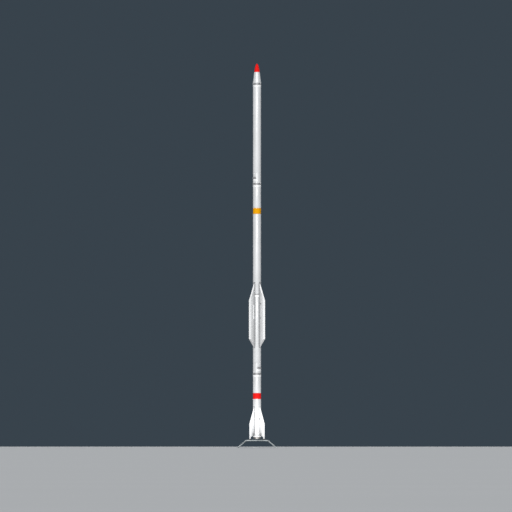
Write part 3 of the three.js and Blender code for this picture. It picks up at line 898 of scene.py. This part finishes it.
def skirt(place):
    """The aft skirt with hinge lugs and its sill below the hatch."""
    stage, body = place.stage, place.body
    node = f"{stage}_aft_skirt"
    piece(f"{node}_skin", skirt_skin(node, place), body, "white_paint", WHITE, node)
    lugs = Shape()
    for end in (-1, 1):
        lugs.add(rod(KNUCKLE_RADIUS, end * LUG_FROM, end * LUG_TO, 24))
        lugs.add(bar((-HINGE_STANDOFF - 0.002, 0, end * LUG_FROM),
                     (0, place.side * 0.014, end * LUG_TO), 0.001))
    lugs.add(rod(PIN_RADIUS, -LUG_TO - 0.003, LUG_TO + 0.003, 16))
    piece(f"{stage}_hatch_lugs", Shape(lugs, hinge_frame(place)), body, "clamp_metal", SCREW)
    low = place.plane + HATCH_LOW
    sill = sector(RADIUS - 0.002, RADIUS + 0.0035, radians(place.half_angle), low - 0.100, low - 0.014, 40)
    piece(f"{stage}_hatch_sill", Shape(bevelled(sill, 0.002), turned(place.azimuth)),
          body, "flange_metal", FLANGE)


def hatch(place):
    """The hatch door: panel, strap, knuckle and its quarter-turn fasteners."""
    node, middle = place.node, place.plane + HATCH_MIDDLE
    door = door_panel(place)
    hinge = hinge_frame(place)
    half = DOOR_KNUCKLE_HALF - 0.001
    strap_end = -place.side * 0.034
    door.add(bar((-0.005, 0, -half), (0, strap_end, half), 0.0015), hinge)
    door.add(bar((-0.011, -place.side * 0.012, -half), (-0.004, strap_end, half), 0.001), hinge)
    door.add(hoop(PIN_RADIUS + PIN_CLEARANCE, KNUCKLE_RADIUS, -DOOR_KNUCKLE_HALF, DOOR_KNUCKLE_HALF,
                  0.0006, 24), hinge)
    piece(f"{node}_door", door, node, "hatch_metal", HATCH, node)
    edge = place.half_angle * 0.86
    fasteners = copies(cap_screw(0.0075, 0.0025), [
        facing_out(place.azimuth + across, RADIUS, middle + up)
        for up in (-0.040, 0.040) for across in spread(-edge, edge, 4)])
    latch = sector(RADIUS - 0.001, RADIUS + 0.003, radians(2.6), middle - 0.022, middle + 0.022, 8)
    latch_azimuth = place.azimuth - place.side * (place.half_angle - 5.0)
    fasteners.add(bevelled(latch, 0.0012), turned(latch_azimuth))
    piece(f"{node}_fasteners", fasteners, node, "clamp_metal", SCREW)


# Fins

# Each outline is a list of (radius, height, bevel of the edge that follows), from the root's
# leading corner outward and down
TAIL_TIP, TAIL_FOOT_FROM, MID_TIP = 0.585, 0.500, 0.622
TAIL_FIN = ((FIN_ROOT, TAIL_FIN_TOP, 0.075), (TAIL_TIP, 1.330, 0.080), (TAIL_TIP, 0.559, 0.050),
            (FIN_ROOT, TAIL_ROOT_LOW, 0.0))
TAIL_FOOT = ((TAIL_FOOT_FROM, TAIL_ROOT_LOW, 0.0), (TAIL_TIP, TAIL_ROOT_LOW, 0.080),
             (TAIL_TIP, FIN_FOOT, 0.0), (TAIL_FOOT_FROM, FIN_FOOT, 0.0))
MID_FIN = ((FIN_ROOT, 9.085, 0.075), (MID_TIP, 8.107, 0.110), (MID_TIP, 5.995, 0.075),
           (FIN_ROOT, MID_SHOE_SPAN[0], 0.0))
CAP_SKIN = 0.0010
CAP_OVERLAP = 0.012
RIVET_SPACING = 0.085
SHOE_BOLT_ANGLE = 11.2
SHOE_BOLT_PITCH = 0.160
SHOE_BOLT_END = 0.04


def inset(outline, extra=0.0):
    """The outline with each edge moved inward by its own bevel, plus some extra if it has one."""
    edges = []
    for (r0, z0, bevel), (r1, z1, _) in zip(outline, outline[1:] + outline[:1]):
        along = Vector((r1 - r0, z1 - z0)).normalized()
        shift = bevel + extra if bevel else 0.0
        edges.append((Vector((r0, z0)) + Vector((along.y, -along.x)) * shift, along))
    return [start + along * ((other - start).cross(across) / along.cross(across))
            for (start, along), (other, across) in zip(edges[-1:] + edges, edges)]


def blade(outline, thickness, edge):
    points = [(radius, edge / 2, z) for radius, z, _ in outline]
    points += [(corner.x, thickness / 2, corner.y) for corner in inset(outline)]
    return bevelled(hull(points), 0.0012, 2, 3)


def edge_cap(outline, index):
    """A sheath over one bevelled edge of the blade, a little proud of it."""
    ridge, deep = inset(outline), inset(outline, CAP_OVERLAP)
    points = []
    for end in (index, (index + 1) % len(outline)):
        points.append((outline[end][0], FIN_EDGE / 2 + CAP_SKIN, outline[end][1]))
        points += [(line[end].x, FIN_THICKNESS / 2 + CAP_SKIN, line[end].y) for line in (ridge, deep)]
    return bevelled(hull(points), 0.0006, 1, 3)


def cap_rivets(outline, index):
    """Small rivets along the inner side of an edge cap, on both faces."""
    inner = inset(outline, 0.004)
    start, end = inner[index], inner[(index + 1) % len(outline)]
    count = max(2, round((end - start).length / RIVET_SPACING))
    head = lathe([(0, -0.001), (0.0045, -0.001), (0.0040, 0.0010), (0.0022, 0.0020), (0, 0.0023)], 10)
    shape = Shape()
    for step in range(1, count):
        spot = start.lerp(end, step / count)
        for side in (-1, 1):
            place = Matrix.Translation((spot.x, side * (FIN_THICKNESS / 2 + CAP_SKIN), spot.y))
            shape.add(head, place @ Matrix.Rotation(-side * pi / 2, 4, "X"))
    return shape


def fin_shoe(outline, low, high):
    """The curved root plate, with a fillet on both sides of the blade."""
    ridge = inset(outline)
    shape = Shape(bevelled(
        sector(SHOE_BACK, SHOE_BACK + SHOE_THICKNESS, SHOE_HALF_ANGLE, low, high, 12), 0.0015))
    foot = SHOE_BACK + SHOE_THICKNESS - 0.001
    # How far each corner of the fillet is from the shoe, and beyond the blade's face
    fillet = ((0, 0.008), (0, -0.004), (0.010, -0.004), (0.010, 0.0005), (0.003, 0.003))
    for side in (-1, 1):
        points = [(foot + out, side * (FIN_THICKNESS / 2 + beside)) for out, beside in fillet]
        shape.add(prism(points, ridge[-1].y, ridge[0].y))
    return shape


def shoe_bolts(low, high):
    low, high = low + SHOE_BOLT_END, high - SHOE_BOLT_END
    heights = spread(low, high, round((high - low) / SHOE_BOLT_PITCH))
    return copies(hex_bolt(0.0085, 0.0065), [
        facing_out(side * SHOE_BOLT_ANGLE, SHOE_BACK + SHOE_THICKNESS - 0.0005, z)
        for z in heights for side in (-1, 1)])


def fin_set(prefix, body, outline, material, shoe_span, shoe_materials, edges, foot=None):
    """Four fins, their root shoes in darker paints in turn, which are painted shade along the roots. edges gives each
    edge cap's paint by its name.
    """
    panel = Shape(blade(outline, FIN_THICKNESS, FIN_EDGE))
    if foot:
        panel.add(blade(foot, FIN_THICKNESS + 0.003, FIN_EDGE + 0.003))
    shoe = fin_shoe(outline, *shoe_span)
    caps = [edge_cap(outline, index) for index in range(len(edges))]
    heads = shoe_bolts(*shoe_span)
    for index in range(len(edges)):
        heads.add(cap_rivets(outline, index))
    for number, azimuth in enumerate(FIN_AZIMUTHS, 1):
        turn = turned(azimuth)
        node = f"{prefix}_{number}"
        piece(f"{node}_blade", Shape(panel, turn), body, "white_paint", material, node, 20)
        piece(f"{node}_shoe", Shape(shoe, turn), body, "white_paint", shoe_materials[number % 2])
        for cap, (name, edge_material) in zip(caps, edges.items()):
            piece(f"{node}_{name}", Shape(cap, turn), body, "white_paint", edge_material, sharp=20)
        piece(f"{node}_fasteners", Shape(heads, turn), body, "clamp_metal", SCREW)


FAIRING_LOW, FAIRING_HIGH = 7.095, 7.975
FAIRING_REACH, FAIRING_HALF, FAIRING_SLOPE = 0.290, 0.032, 0.040
FAIRING_STEP = 0.255
BRACKET_HEIGHT, BRACKET_HALF = 0.105, 0.029


def housing(inner, outer, half, outer_half, margin):
    """A long low housing along a fin's root, with sloped sides and ends."""
    points = []
    for end, slope in ((FAIRING_LOW + margin, FAIRING_SLOPE), (FAIRING_HIGH - margin, -FAIRING_SLOPE)):
        points += [(inner, half, end), (outer, outer_half, end + slope)]
    return bevelled(hull(points), 0.004, 3)


def bracket(low, reach):
    return bar((FIN_ROOT, -BRACKET_HALF, low), (reach, BRACKET_HALF, low + BRACKET_HEIGHT), 0.004)


def root_fairings():
    """The housing over each mid fin's root: a grey base that is painted shade along the root, a cap and a bracket at
    either end.

    Two opposite fins have a white cap and light brackets, and the others have grey ones.
    """
    base = housing(FIN_ROOT, FAIRING_STEP, FAIRING_HALF, FAIRING_HALF - 0.004, 0.0)
    cap = housing(FAIRING_STEP - 0.004, FAIRING_REACH, 0.025, 0.022, 0.012)
    upper, lower = bracket(FAIRING_HIGH - BRACKET_HEIGHT, 0.335), bracket(FAIRING_LOW, FAIRING_REACH + 0.004)
    parts = (
        # name, part, slot, paint in turn
        ("fairing", base, "white_paint", (GREY_COVER_AND_ROOT_SHADE, GREY_COVER_AND_ROOT_SHADE)),
        ("cap", cap, "white_paint", (CAP_GREY, EDGE_WHITE)),
        ("upper_bracket", upper, "clamp_metal", (CLAMP, GREY_BRACKET_AND_EDGE_SHADE)),
        ("lower_bracket", lower, "clamp_metal", (CLAMP, EDGE_WHITE)),
    )
    for number, azimuth in enumerate(FIN_AZIMUTHS, 1):
        for name, part, slot, paints in parts:
            piece(f"mid_fin_{number}_root_{name}", Shape(part, turned(azimuth)),
                  "sustainer", slot, paints[number % 2])


# Launch table

COLLAR_RADIUS = 0.292
COLLAR_TOP = DECK_TOP + 0.006
LEG_PLATE_FROM, LEG_PLATE_TO, LEG_PLATE_HALF = 0.790, 0.940, 0.042
LEG_PLATE_TOP = FRAME_LOW + 0.012
SUPPORT_FROM, SUPPORT_TO, SUPPORT_HALF = 0.486, 0.621, 0.050
HUB_RADIUS = 0.230
ARM_HALF = 0.040


def table_piece(name, part, material=TABLE, node=None, sharp=32):
    piece(f"table_{name}", part, "booster", "table_steel", material, node, sharp)


def deck():
    """The square deck with a round hole, as rings of points from the hole to the outline."""
    corner_angle = atan2(TABLE_HALF - DECK_CORNER, TABLE_HALF)
    steps = [pi / 48 * step for step in range(96)]
    corners = [pi / 2 * quarter + side * corner_angle for quarter in range(4) for side in (-1, 1)]
    angles = sorted({round(angle % (2 * pi), 9) for angle in steps + corners})
    hole = [HOLE_RADIUS] * len(angles)
    outer = []
    for angle in angles:
        x, y = abs(cos(angle)), abs(sin(angle))
        outer.append(min(TABLE_HALF / max(x, y), (2 * TABLE_HALF - DECK_CORNER) / (x + y)))
    edge = 0.0015
    rings = (
        (hole, DECK_BOTTOM, 1.0), (outer, DECK_BOTTOM, 1 - edge / TABLE_HALF),
        (outer, DECK_BOTTOM + edge, 1.0), (outer, DECK_TOP - edge, 1.0),
        (outer, DECK_TOP, 1 - edge / TABLE_HALF), (hole, DECK_TOP, 1 + edge / HOLE_RADIUS),
        (hole, DECK_TOP - edge, 1.0),
    )
    return skinned([[polar(reach * scale, angle, z) for reach, angle in zip(reaches, angles)]
                    for reaches, z, scale in rings], True)


def frame_under():
    """The mitred beams under the deck, their diagonals and leg brackets, and the weld beads."""
    low, high = FRAME_LOW, FRAME_HIGH
    outer = TABLE_HALF - 0.008
    inner = outer - BEAM
    straight = outer - DECK_CORNER
    mitre = outer - DECK_CORNER / 2
    side_beam = [(-straight, -outer), (straight, -outer), (mitre, -mitre), (inner, -inner),
                 (-inner, -inner), (-mitre, -mitre)]
    beams, beads, bolts = Shape(), Shape(), Shape()
    for quarter in range(4):
        turn = turned(90 * quarter)
        beams.add(bevelled(prism(side_beam, low, high), 0.004, 3), turn)
        beads.add(weld([(mitre, -mitre, high - 0.004), (mitre, -mitre, low + 0.002),
                        (inner + 0.004, -inner - 0.004, low)]), turn)
    start = HOLE_RADIUS + 0.015
    end = inner * sqrt(2) - BEAM / 2
    for azimuth in FIN_AZIMUTHS:
        turn = turned(azimuth)
        beams.add(bar((start, -BEAM / 2, low), (end + BEAM, BEAM / 2, high), 0.004, 3), turn)
        beams.add(bar((LEG_PLATE_FROM, -LEG_PLATE_HALF, low), (LEG_PLATE_TO, LEG_PLATE_HALF, LEG_PLATE_TOP),
                      0.002), turn)
        for side in (-1, 1):
            beads.add(weld([(end, side * BEAM / 2, high - 0.002), (end, side * BEAM / 2, low + 0.002)]), turn)
            spot = Matrix.Translation((LEG_PLATE_TO - 0.028, side * 0.026, LEG_PLATE_TOP))
            bolts.add(hex_bolt(0.008, 0.007), turn @ spot)
    table_piece("beams", beams, node="table_frame")
    table_piece("beam_welds", beads, WELD)
    table_piece("bracket_bolts", bolts, SCREW)


def leg(number, azimuth):
    """A splayed square leg, cut level at both ends, with gussets and weld beads."""
    top_x, foot_x = (TABLE_HALF - 0.012) * sqrt(2), FOOT_CENTRE * sqrt(2)
    run = (foot_x - top_x) / (FRAME_LOW - BASE_TOP)
    half = LEG_WIDTH / 2
    half_level = half * sqrt(1 + run * run)
    cut = half - 0.006
    section = [(-cut, -half), (cut, -half), (half, -cut), (half, cut),
               (cut, half), (-cut, half), (-half, cut), (-half, -cut)]
    tube = prism([(foot_x + x * half_level / half, y) for x, y in section],
                 BASE_TOP + GAP, FRAME_LOW - GAP, top_x - foot_x)
    turn = turned(azimuth)
    table_piece(f"leg_{number}_tube", Shape(tube, turn), LEG, f"table_leg_{number}", 50)
    high_inner, low_inner = top_x - half_level, foot_x - half_level
    gussets = Shape()
    # The gusset's corner beside the leg, how far it reaches inward, and how far up or down the leg
    for x, z, inward, rise in ((high_inner, FRAME_LOW, 0.090, -0.110), (low_inner, BASE_TOP, 0.080, 0.055)):
        corners = (x - inward, z), (x + 0.006, z), (x - rise * run + 0.006, z + rise)
        gussets.add(hull([(corner_x, GUSSET_HALF, corner_z) for corner_x, corner_z in corners]), turn)
    table_piece(f"leg_{number}_gussets", gussets)
    beads = Shape()
    for x, z in ((top_x, FRAME_LOW - 0.002), (foot_x, BASE_TOP + 0.002)):
        corners = [(x + sx * half_level, sy * half, z)
                   for sx, sy in ((-1, -1), (1, -1), (1, 1), (-1, 1), (-1, -1))]
        beads.add(weld(corners), turn)
    table_piece(f"leg_{number}_welds", beads, WELD)


def support_shoe(number, azimuth):
    """The dark block under a fin's tip: a bolted base, a pedestal and a slotted pad."""
    node = f"support_shoe_{number}"
    low, high = span(node)
    base_top, pad_low = low + 0.010, high - 0.014
    blocks = (
        # distance from the ends, one side, other side, bottom, top, bevel
        (0, -SUPPORT_HALF, SUPPORT_HALF, low, base_top, 0.0015),
        (0.012, -0.036, 0.036, base_top - 0.002, pad_low + 0.002, 0.003),
        (0.009, -0.042, -0.006, pad_low, high, 0.002),
        (0.009, 0.006, 0.042, pad_low, high, 0.002),
    )
    shoe = Shape()
    for margin, y, other_y, bottom, top, bevel in blocks:
        shoe.add(bar((SUPPORT_FROM + margin, y, bottom), (SUPPORT_TO - margin, other_y, top), bevel))
    shoe.add(block((SUPPORT_FROM + 0.011, -0.010, pad_low), (SUPPORT_TO - 0.011, 0.010, high - 0.004)))
    bolts = copies(hex_bolt(0.0045, 0.005), [
        Matrix.Translation((x, y, base_top))
        for x in (SUPPORT_FROM + 0.0055, SUPPORT_TO - 0.0055) for y in (-0.043, 0.043)])
    turn = turned(azimuth)
    piece(f"{node}_block", Shape(shoe, turn), "booster", "shoe_steel", SHOE, node)
    piece(f"{node}_bolts", Shape(bolts, turn), "booster", "shoe_steel", SCREW)


def base():
    """The flat cross on the ground, with its centre plate, feet and anchor bolts."""
    reach = FOOT_CENTRE * sqrt(2)
    plates = Shape(drum(HUB_RADIUS, 0, BASE_TOP, 0.0015))
    beads, bolts = Shape(), Shape()
    for azimuth in FIN_AZIMUTHS:
        turn = turned(azimuth)
        plates.add(bar((0.200, -ARM_HALF, 0), (reach - 0.020, ARM_HALF, BASE_TOP), 0.0015), turn)
        for side in (-1, 1):
            beads.add(weld([(HUB_RADIUS + out, side * ARM_HALF, BASE_TOP - 0.001) for out in (0.002, 0.032)],
                           0.003), turn)
    foot = bar((-FOOT_HALF, -FOOT_HALF, 0), (FOOT_HALF, FOOT_HALF, BASE_TOP), 0.0015)
    for sx, sy in ((1, 1), (-1, 1), (-1, -1), (1, -1)):
        spot = Matrix.Translation((sx * FOOT_CENTRE, sy * FOOT_CENTRE, 0))
        plates.add(foot, spot)
        for x, y in ((0.036, -0.036), (-0.036, 0.036), (0.040, 0.040)):
            bolts.add(hex_bolt(0.008, 0.010), spot @ Matrix.Translation((sx * x, sy * y, BASE_TOP)))
    bolts.add(ring_of(hex_bolt(0.010, 0.010), 8, HUB_RADIUS - 0.040, BASE_TOP, place=turned))
    table_piece("base_plates", plates, node="table_base")
    table_piece("base_welds", beads, WELD)
    table_piece("anchor_bolts", bolts, SCREW)


def launch_table():
    table_piece("deck", deck(), node="table_top")
    table_piece("hole_collar", hoop(HOLE_RADIUS + 0.002, COLLAR_RADIUS, DECK_TOP - 0.001,
                                    COLLAR_TOP, 0.002))
    bolts = ring_of(hex_bolt(0.009, 0.007), 16, COLLAR_RADIUS - 0.020, COLLAR_TOP, 11.25, turned)
    table_piece("collar_bolts", bolts, SCREW)
    frame_under()
    for number, azimuth in enumerate(FIN_AZIMUTHS, 1):
        leg(number, azimuth)
        support_shoe(number, azimuth)
    base()


# The rocket, stage by stage

def booster():
    booster_nozzle()
    low, high = span("booster_case")
    inside = low + NOZZLE_BAY_DEPTH
    outline = [
        (0, inside), (SKIRT_INNER_RADIUS, inside), (SKIRT_INNER_RADIUS, low), (RADIUS, low),
        (RADIUS, high), (0, high),
    ]
    piece("booster_case_skin", lathe(soften(outline)), "booster", "white_paint", TAIL_WHITE, "booster_case")
    hem = hoop(RADIUS - 0.001, RADIUS + 0.0025, low + 0.002, low + 0.040, 0.001)
    piece("booster_tail_band", hem, "booster", "flange_metal", FLANGE)
    solid_section("booster_red_band", "booster", "red_paint", RED)
    stage_top("booster", "booster_interstage", "booster", FIRST_PLANE, INTERSTAGE_SOCKET_DEPTH)
    joint_screws("booster", "booster", *((height, 0.030) for height in span("booster_red_band")))
    fin_set("tail_fin", "booster", TAIL_FIN, TAIL_FIN_WHITE, TAIL_SHOE_SPAN,
            (TAIL_ROOT_LIGHT_SHADE, TAIL_ROOT_DARK_SHADE),
            {"leading_edge": EDGE_WHITE, "tip_edge": TAIL_FIN_WHITE}, TAIL_FOOT)
    connector_cover()


def connector_cover():
    """The small grey cover near the root of the tail fin at the front right."""
    azimuth, half_angle, low, high = 307.4, radians(8.5), 1.542, 1.652
    surface = RADIUS + SHOE_THICKNESS
    plate = sector(surface - 0.002, surface + 0.008, half_angle, low, high, 8)
    cover = Shape(bevelled(plate, 0.002), turned(azimuth))
    piece("booster_connector_cover", cover, "booster", "white_paint", GREY_COVER_AND_ROOT_SHADE)


def stage_bottom(place):
    stage_nozzle(f"{place.stage}_nozzle", place.body)
    skirt(place)
    hatch(place)


def sustainer():
    stage_bottom(SERVICE_HATCH)
    solid_section("sustainer_aft_case", "sustainer")
    solid_section("sustainer_forward_case", "sustainer")
    solid_section("sustainer_orange_band", "sustainer", "orange_paint", ORANGE)
    mid_ring()
    stage_top("sustainer", "sustainer_interstage", "sustainer", SECOND_PLANE, INTERSTAGE_SOCKET_DEPTH)
    joint_screws("sustainer", "sustainer", (span("sustainer_aft_skirt")[1], 0.025),
                 *((height, 0.030) for height in span("sustainer_orange_band")))
    fin_set("mid_fin", "sustainer", MID_FIN, FIN_WHITE, MID_SHOE_SPAN, (GREY_COVER_AND_ROOT_SHADE, GREY_COVER_AND_ROOT_SHADE),
            {"leading_edge": EDGE_WHITE, "tip_edge": EDGE_WHITE, "trailing_edge": GREY_BRACKET_AND_EDGE_SHADE})
    root_fairings()


def mid_ring():
    """The dark groove between the two motor cases, and the bright band below it."""
    low, high = span("sustainer_mid_ring")
    piece("sustainer_mid_ring_groove", drum(RADIUS - 0.003, low, high), "sustainer", "clamp_metal",
          GROOVE, "sustainer_mid_ring")
    band = [(RADIUS - 0.002, low - 0.110), (RADIUS + 0.0004, low - 0.109),
            (RADIUS + 0.0004, low - 0.002), (RADIUS - 0.002, low - 0.001)]
    piece("sustainer_mid_band", lathe(band, closed=True), "sustainer", "flange_metal", FLANGE)


def upper_stage():
    stage_bottom(PAYLOAD_HATCH)
    stage_top("upper", "upper_case", "upper_stage", NOSE_PLANE, NOSE_SOCKET_DEPTH)
    joint_screws("upper", "upper_stage", (span("upper_aft_skirt")[1], 0.025))


NOSE_STEPS = 48
NOSE_POWER = 0.44


def nose_outline(low, high):
    """The nose's blunt curve between two heights, even in radius."""
    length = NOSE_TOP - NOSE_PLANE
    start, end = (RADIUS * (max(0.0, NOSE_TOP - z) / length) ** NOSE_POWER for z in (low, high))
    steps = max(2, ceil(NOSE_STEPS * (start - end) / RADIUS))
    return [(radius, NOSE_TOP - length * (radius / RADIUS) ** (1 / NOSE_POWER))
            for radius in spread(start, end, steps)]


def nose():
    red_from = span("nose_tip")[0]
    bore_top, spigot_low = NOSE_PLANE + 0.020, NOSE_PLANE - SPIGOT_LENGTH
    cone = [
        (0, bore_top), (SPIGOT_BORE_RADIUS, bore_top), (SPIGOT_BORE_RADIUS, spigot_low),
        (SPIGOT_RADIUS, spigot_low), (SPIGOT_RADIUS, NOSE_PLANE), *lip_outline(NOSE_PLANE),
        *nose_outline(NOSE_PLANE + LIP_HEIGHT, red_from - GAP), (0, red_from - GAP),
    ]
    piece("nose_cone_skin", lathe(cone), "nose", "white_paint", WHITE, "nose_cone")
    tip = [(0, red_from), *nose_outline(red_from, NOSE_TOP)]
    piece("nose_tip_skin", lathe(tip), "nose", "red_paint", RED, "nose_tip")
    screws = ring_of(JOINT_SCREW, 24, RADIUS + FLANGE_PROUD, NOSE_PLANE + 0.027, 4)
    piece("nose_screws", screws, "nose", "clamp_metal", SCREW)


# Stage, lights and camera

CAMERA_DISTANCE = 1000.0
CAMERA_HEIGHT = 0.1
PIXEL = 0.055
FRAME_PIXELS = 512
PHOTO_AXIS_X = 257.0
PHOTO_GROUND_Y = 448.0
FLOOR_HALF = 3000.0


def facing(direction):
    """The turn of a lamp or camera that looks against a direction."""
    return direction.to_track_quat("Z", "Y").to_euler()


def floor_and_world():
    mesh = bpy.data.meshes.new("floor")
    corners = [(x * FLOOR_HALF, y * FLOOR_HALF, 0) for x, y in ((-1, -1), (1, -1), (1, 1), (-1, 1))]
    mesh.from_pydata(corners, [], [(0, 1, 2, 3)])
    graph = Graph("floor_grey", 0.1)
    layers = [(graph.noise(0.3, 3), (0.53, 0.54, 0.55))]
    mesh.materials.append(graph.finish((0.50, 0.51, 0.52), layers, 0.9))
    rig.stage(add_object("floor", mesh))
    world = bpy.data.worlds.new("studio")
    bpy.context.scene.world = world
    world.use_nodes = True
    background = world.node_tree.nodes["Background"]
    background.inputs["Color"].default_value = (0.040, 0.056, 0.072, 1)


def lamp(name, kind, energy, back, **settings):
    """A soft light that comes from that direction."""
    light = bpy.data.lights.new(name, kind)
    light.energy = energy
    for key, value in settings.items():
        setattr(light, key, value)
    made = add_object(name, light)
    made.rotation_euler = facing(back)
    return made


def sun(name, azimuth, elevation, strength, width):
    """A distant lamp at that azimuth, counted from the front at -Y towards +X."""
    azimuth, elevation = radians(azimuth), radians(elevation)
    x, y = polar(cos(elevation), azimuth - pi / 2)
    back = Vector((x, y, sin(elevation)))
    lamp(name, "SUN", strength, back, angle=radians(width))


def lights():
    sun("key", azimuth=-5, elevation=12, strength=3.1, width=6)
    for side in (-1, 1):
        sun(f"back_{side}", azimuth=180 + side * 32, elevation=28, strength=1.55, width=20)
        # A lamp near the ground that brightens the tail but not the table
        spot, target = Vector((side * 1.7, -1.7, 0.35)), Vector((0, 0, 2.0))
        flood = lamp(f"flood_{side}", "AREA", 7, spot - target, size=0.3, spread=radians(76))
        flood.location = spot


def camera():
    """A far camera at ground level, turned so that the rocket stands where it does in the photo."""
    data = bpy.data.cameras.new("camera")
    data.lens = data.sensor_width * CAMERA_DISTANCE / (FRAME_PIXELS * PIXEL)
    data.clip_start = 1.0
    data.clip_end = 6000.0
    made = add_object("camera", data)
    centre_x = (FRAME_PIXELS / 2 - PHOTO_AXIS_X) * PIXEL
    centre_z = (PHOTO_GROUND_Y - FRAME_PIXELS / 2) * PIXEL
    made.location = (centre_x, -CAMERA_DISTANCE, CAMERA_HEIGHT)
    made.rotation_euler = facing(made.location - Vector((centre_x, 0, centre_z)))
    bpy.context.scene.camera = made


camera()
floor_and_world()
lights()
bpy.context.scene.view_settings.view_transform = "Standard"
launch_table()
booster()
sustainer()
upper_stage()
nose()

low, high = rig.bounds()
sizes = {"cad": [list(cad_low), list(cad_high)], "visual": [list(low), list(high)]}
with open("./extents.json", "w") as handle:
    json.dump(sizes, handle, indent=1)
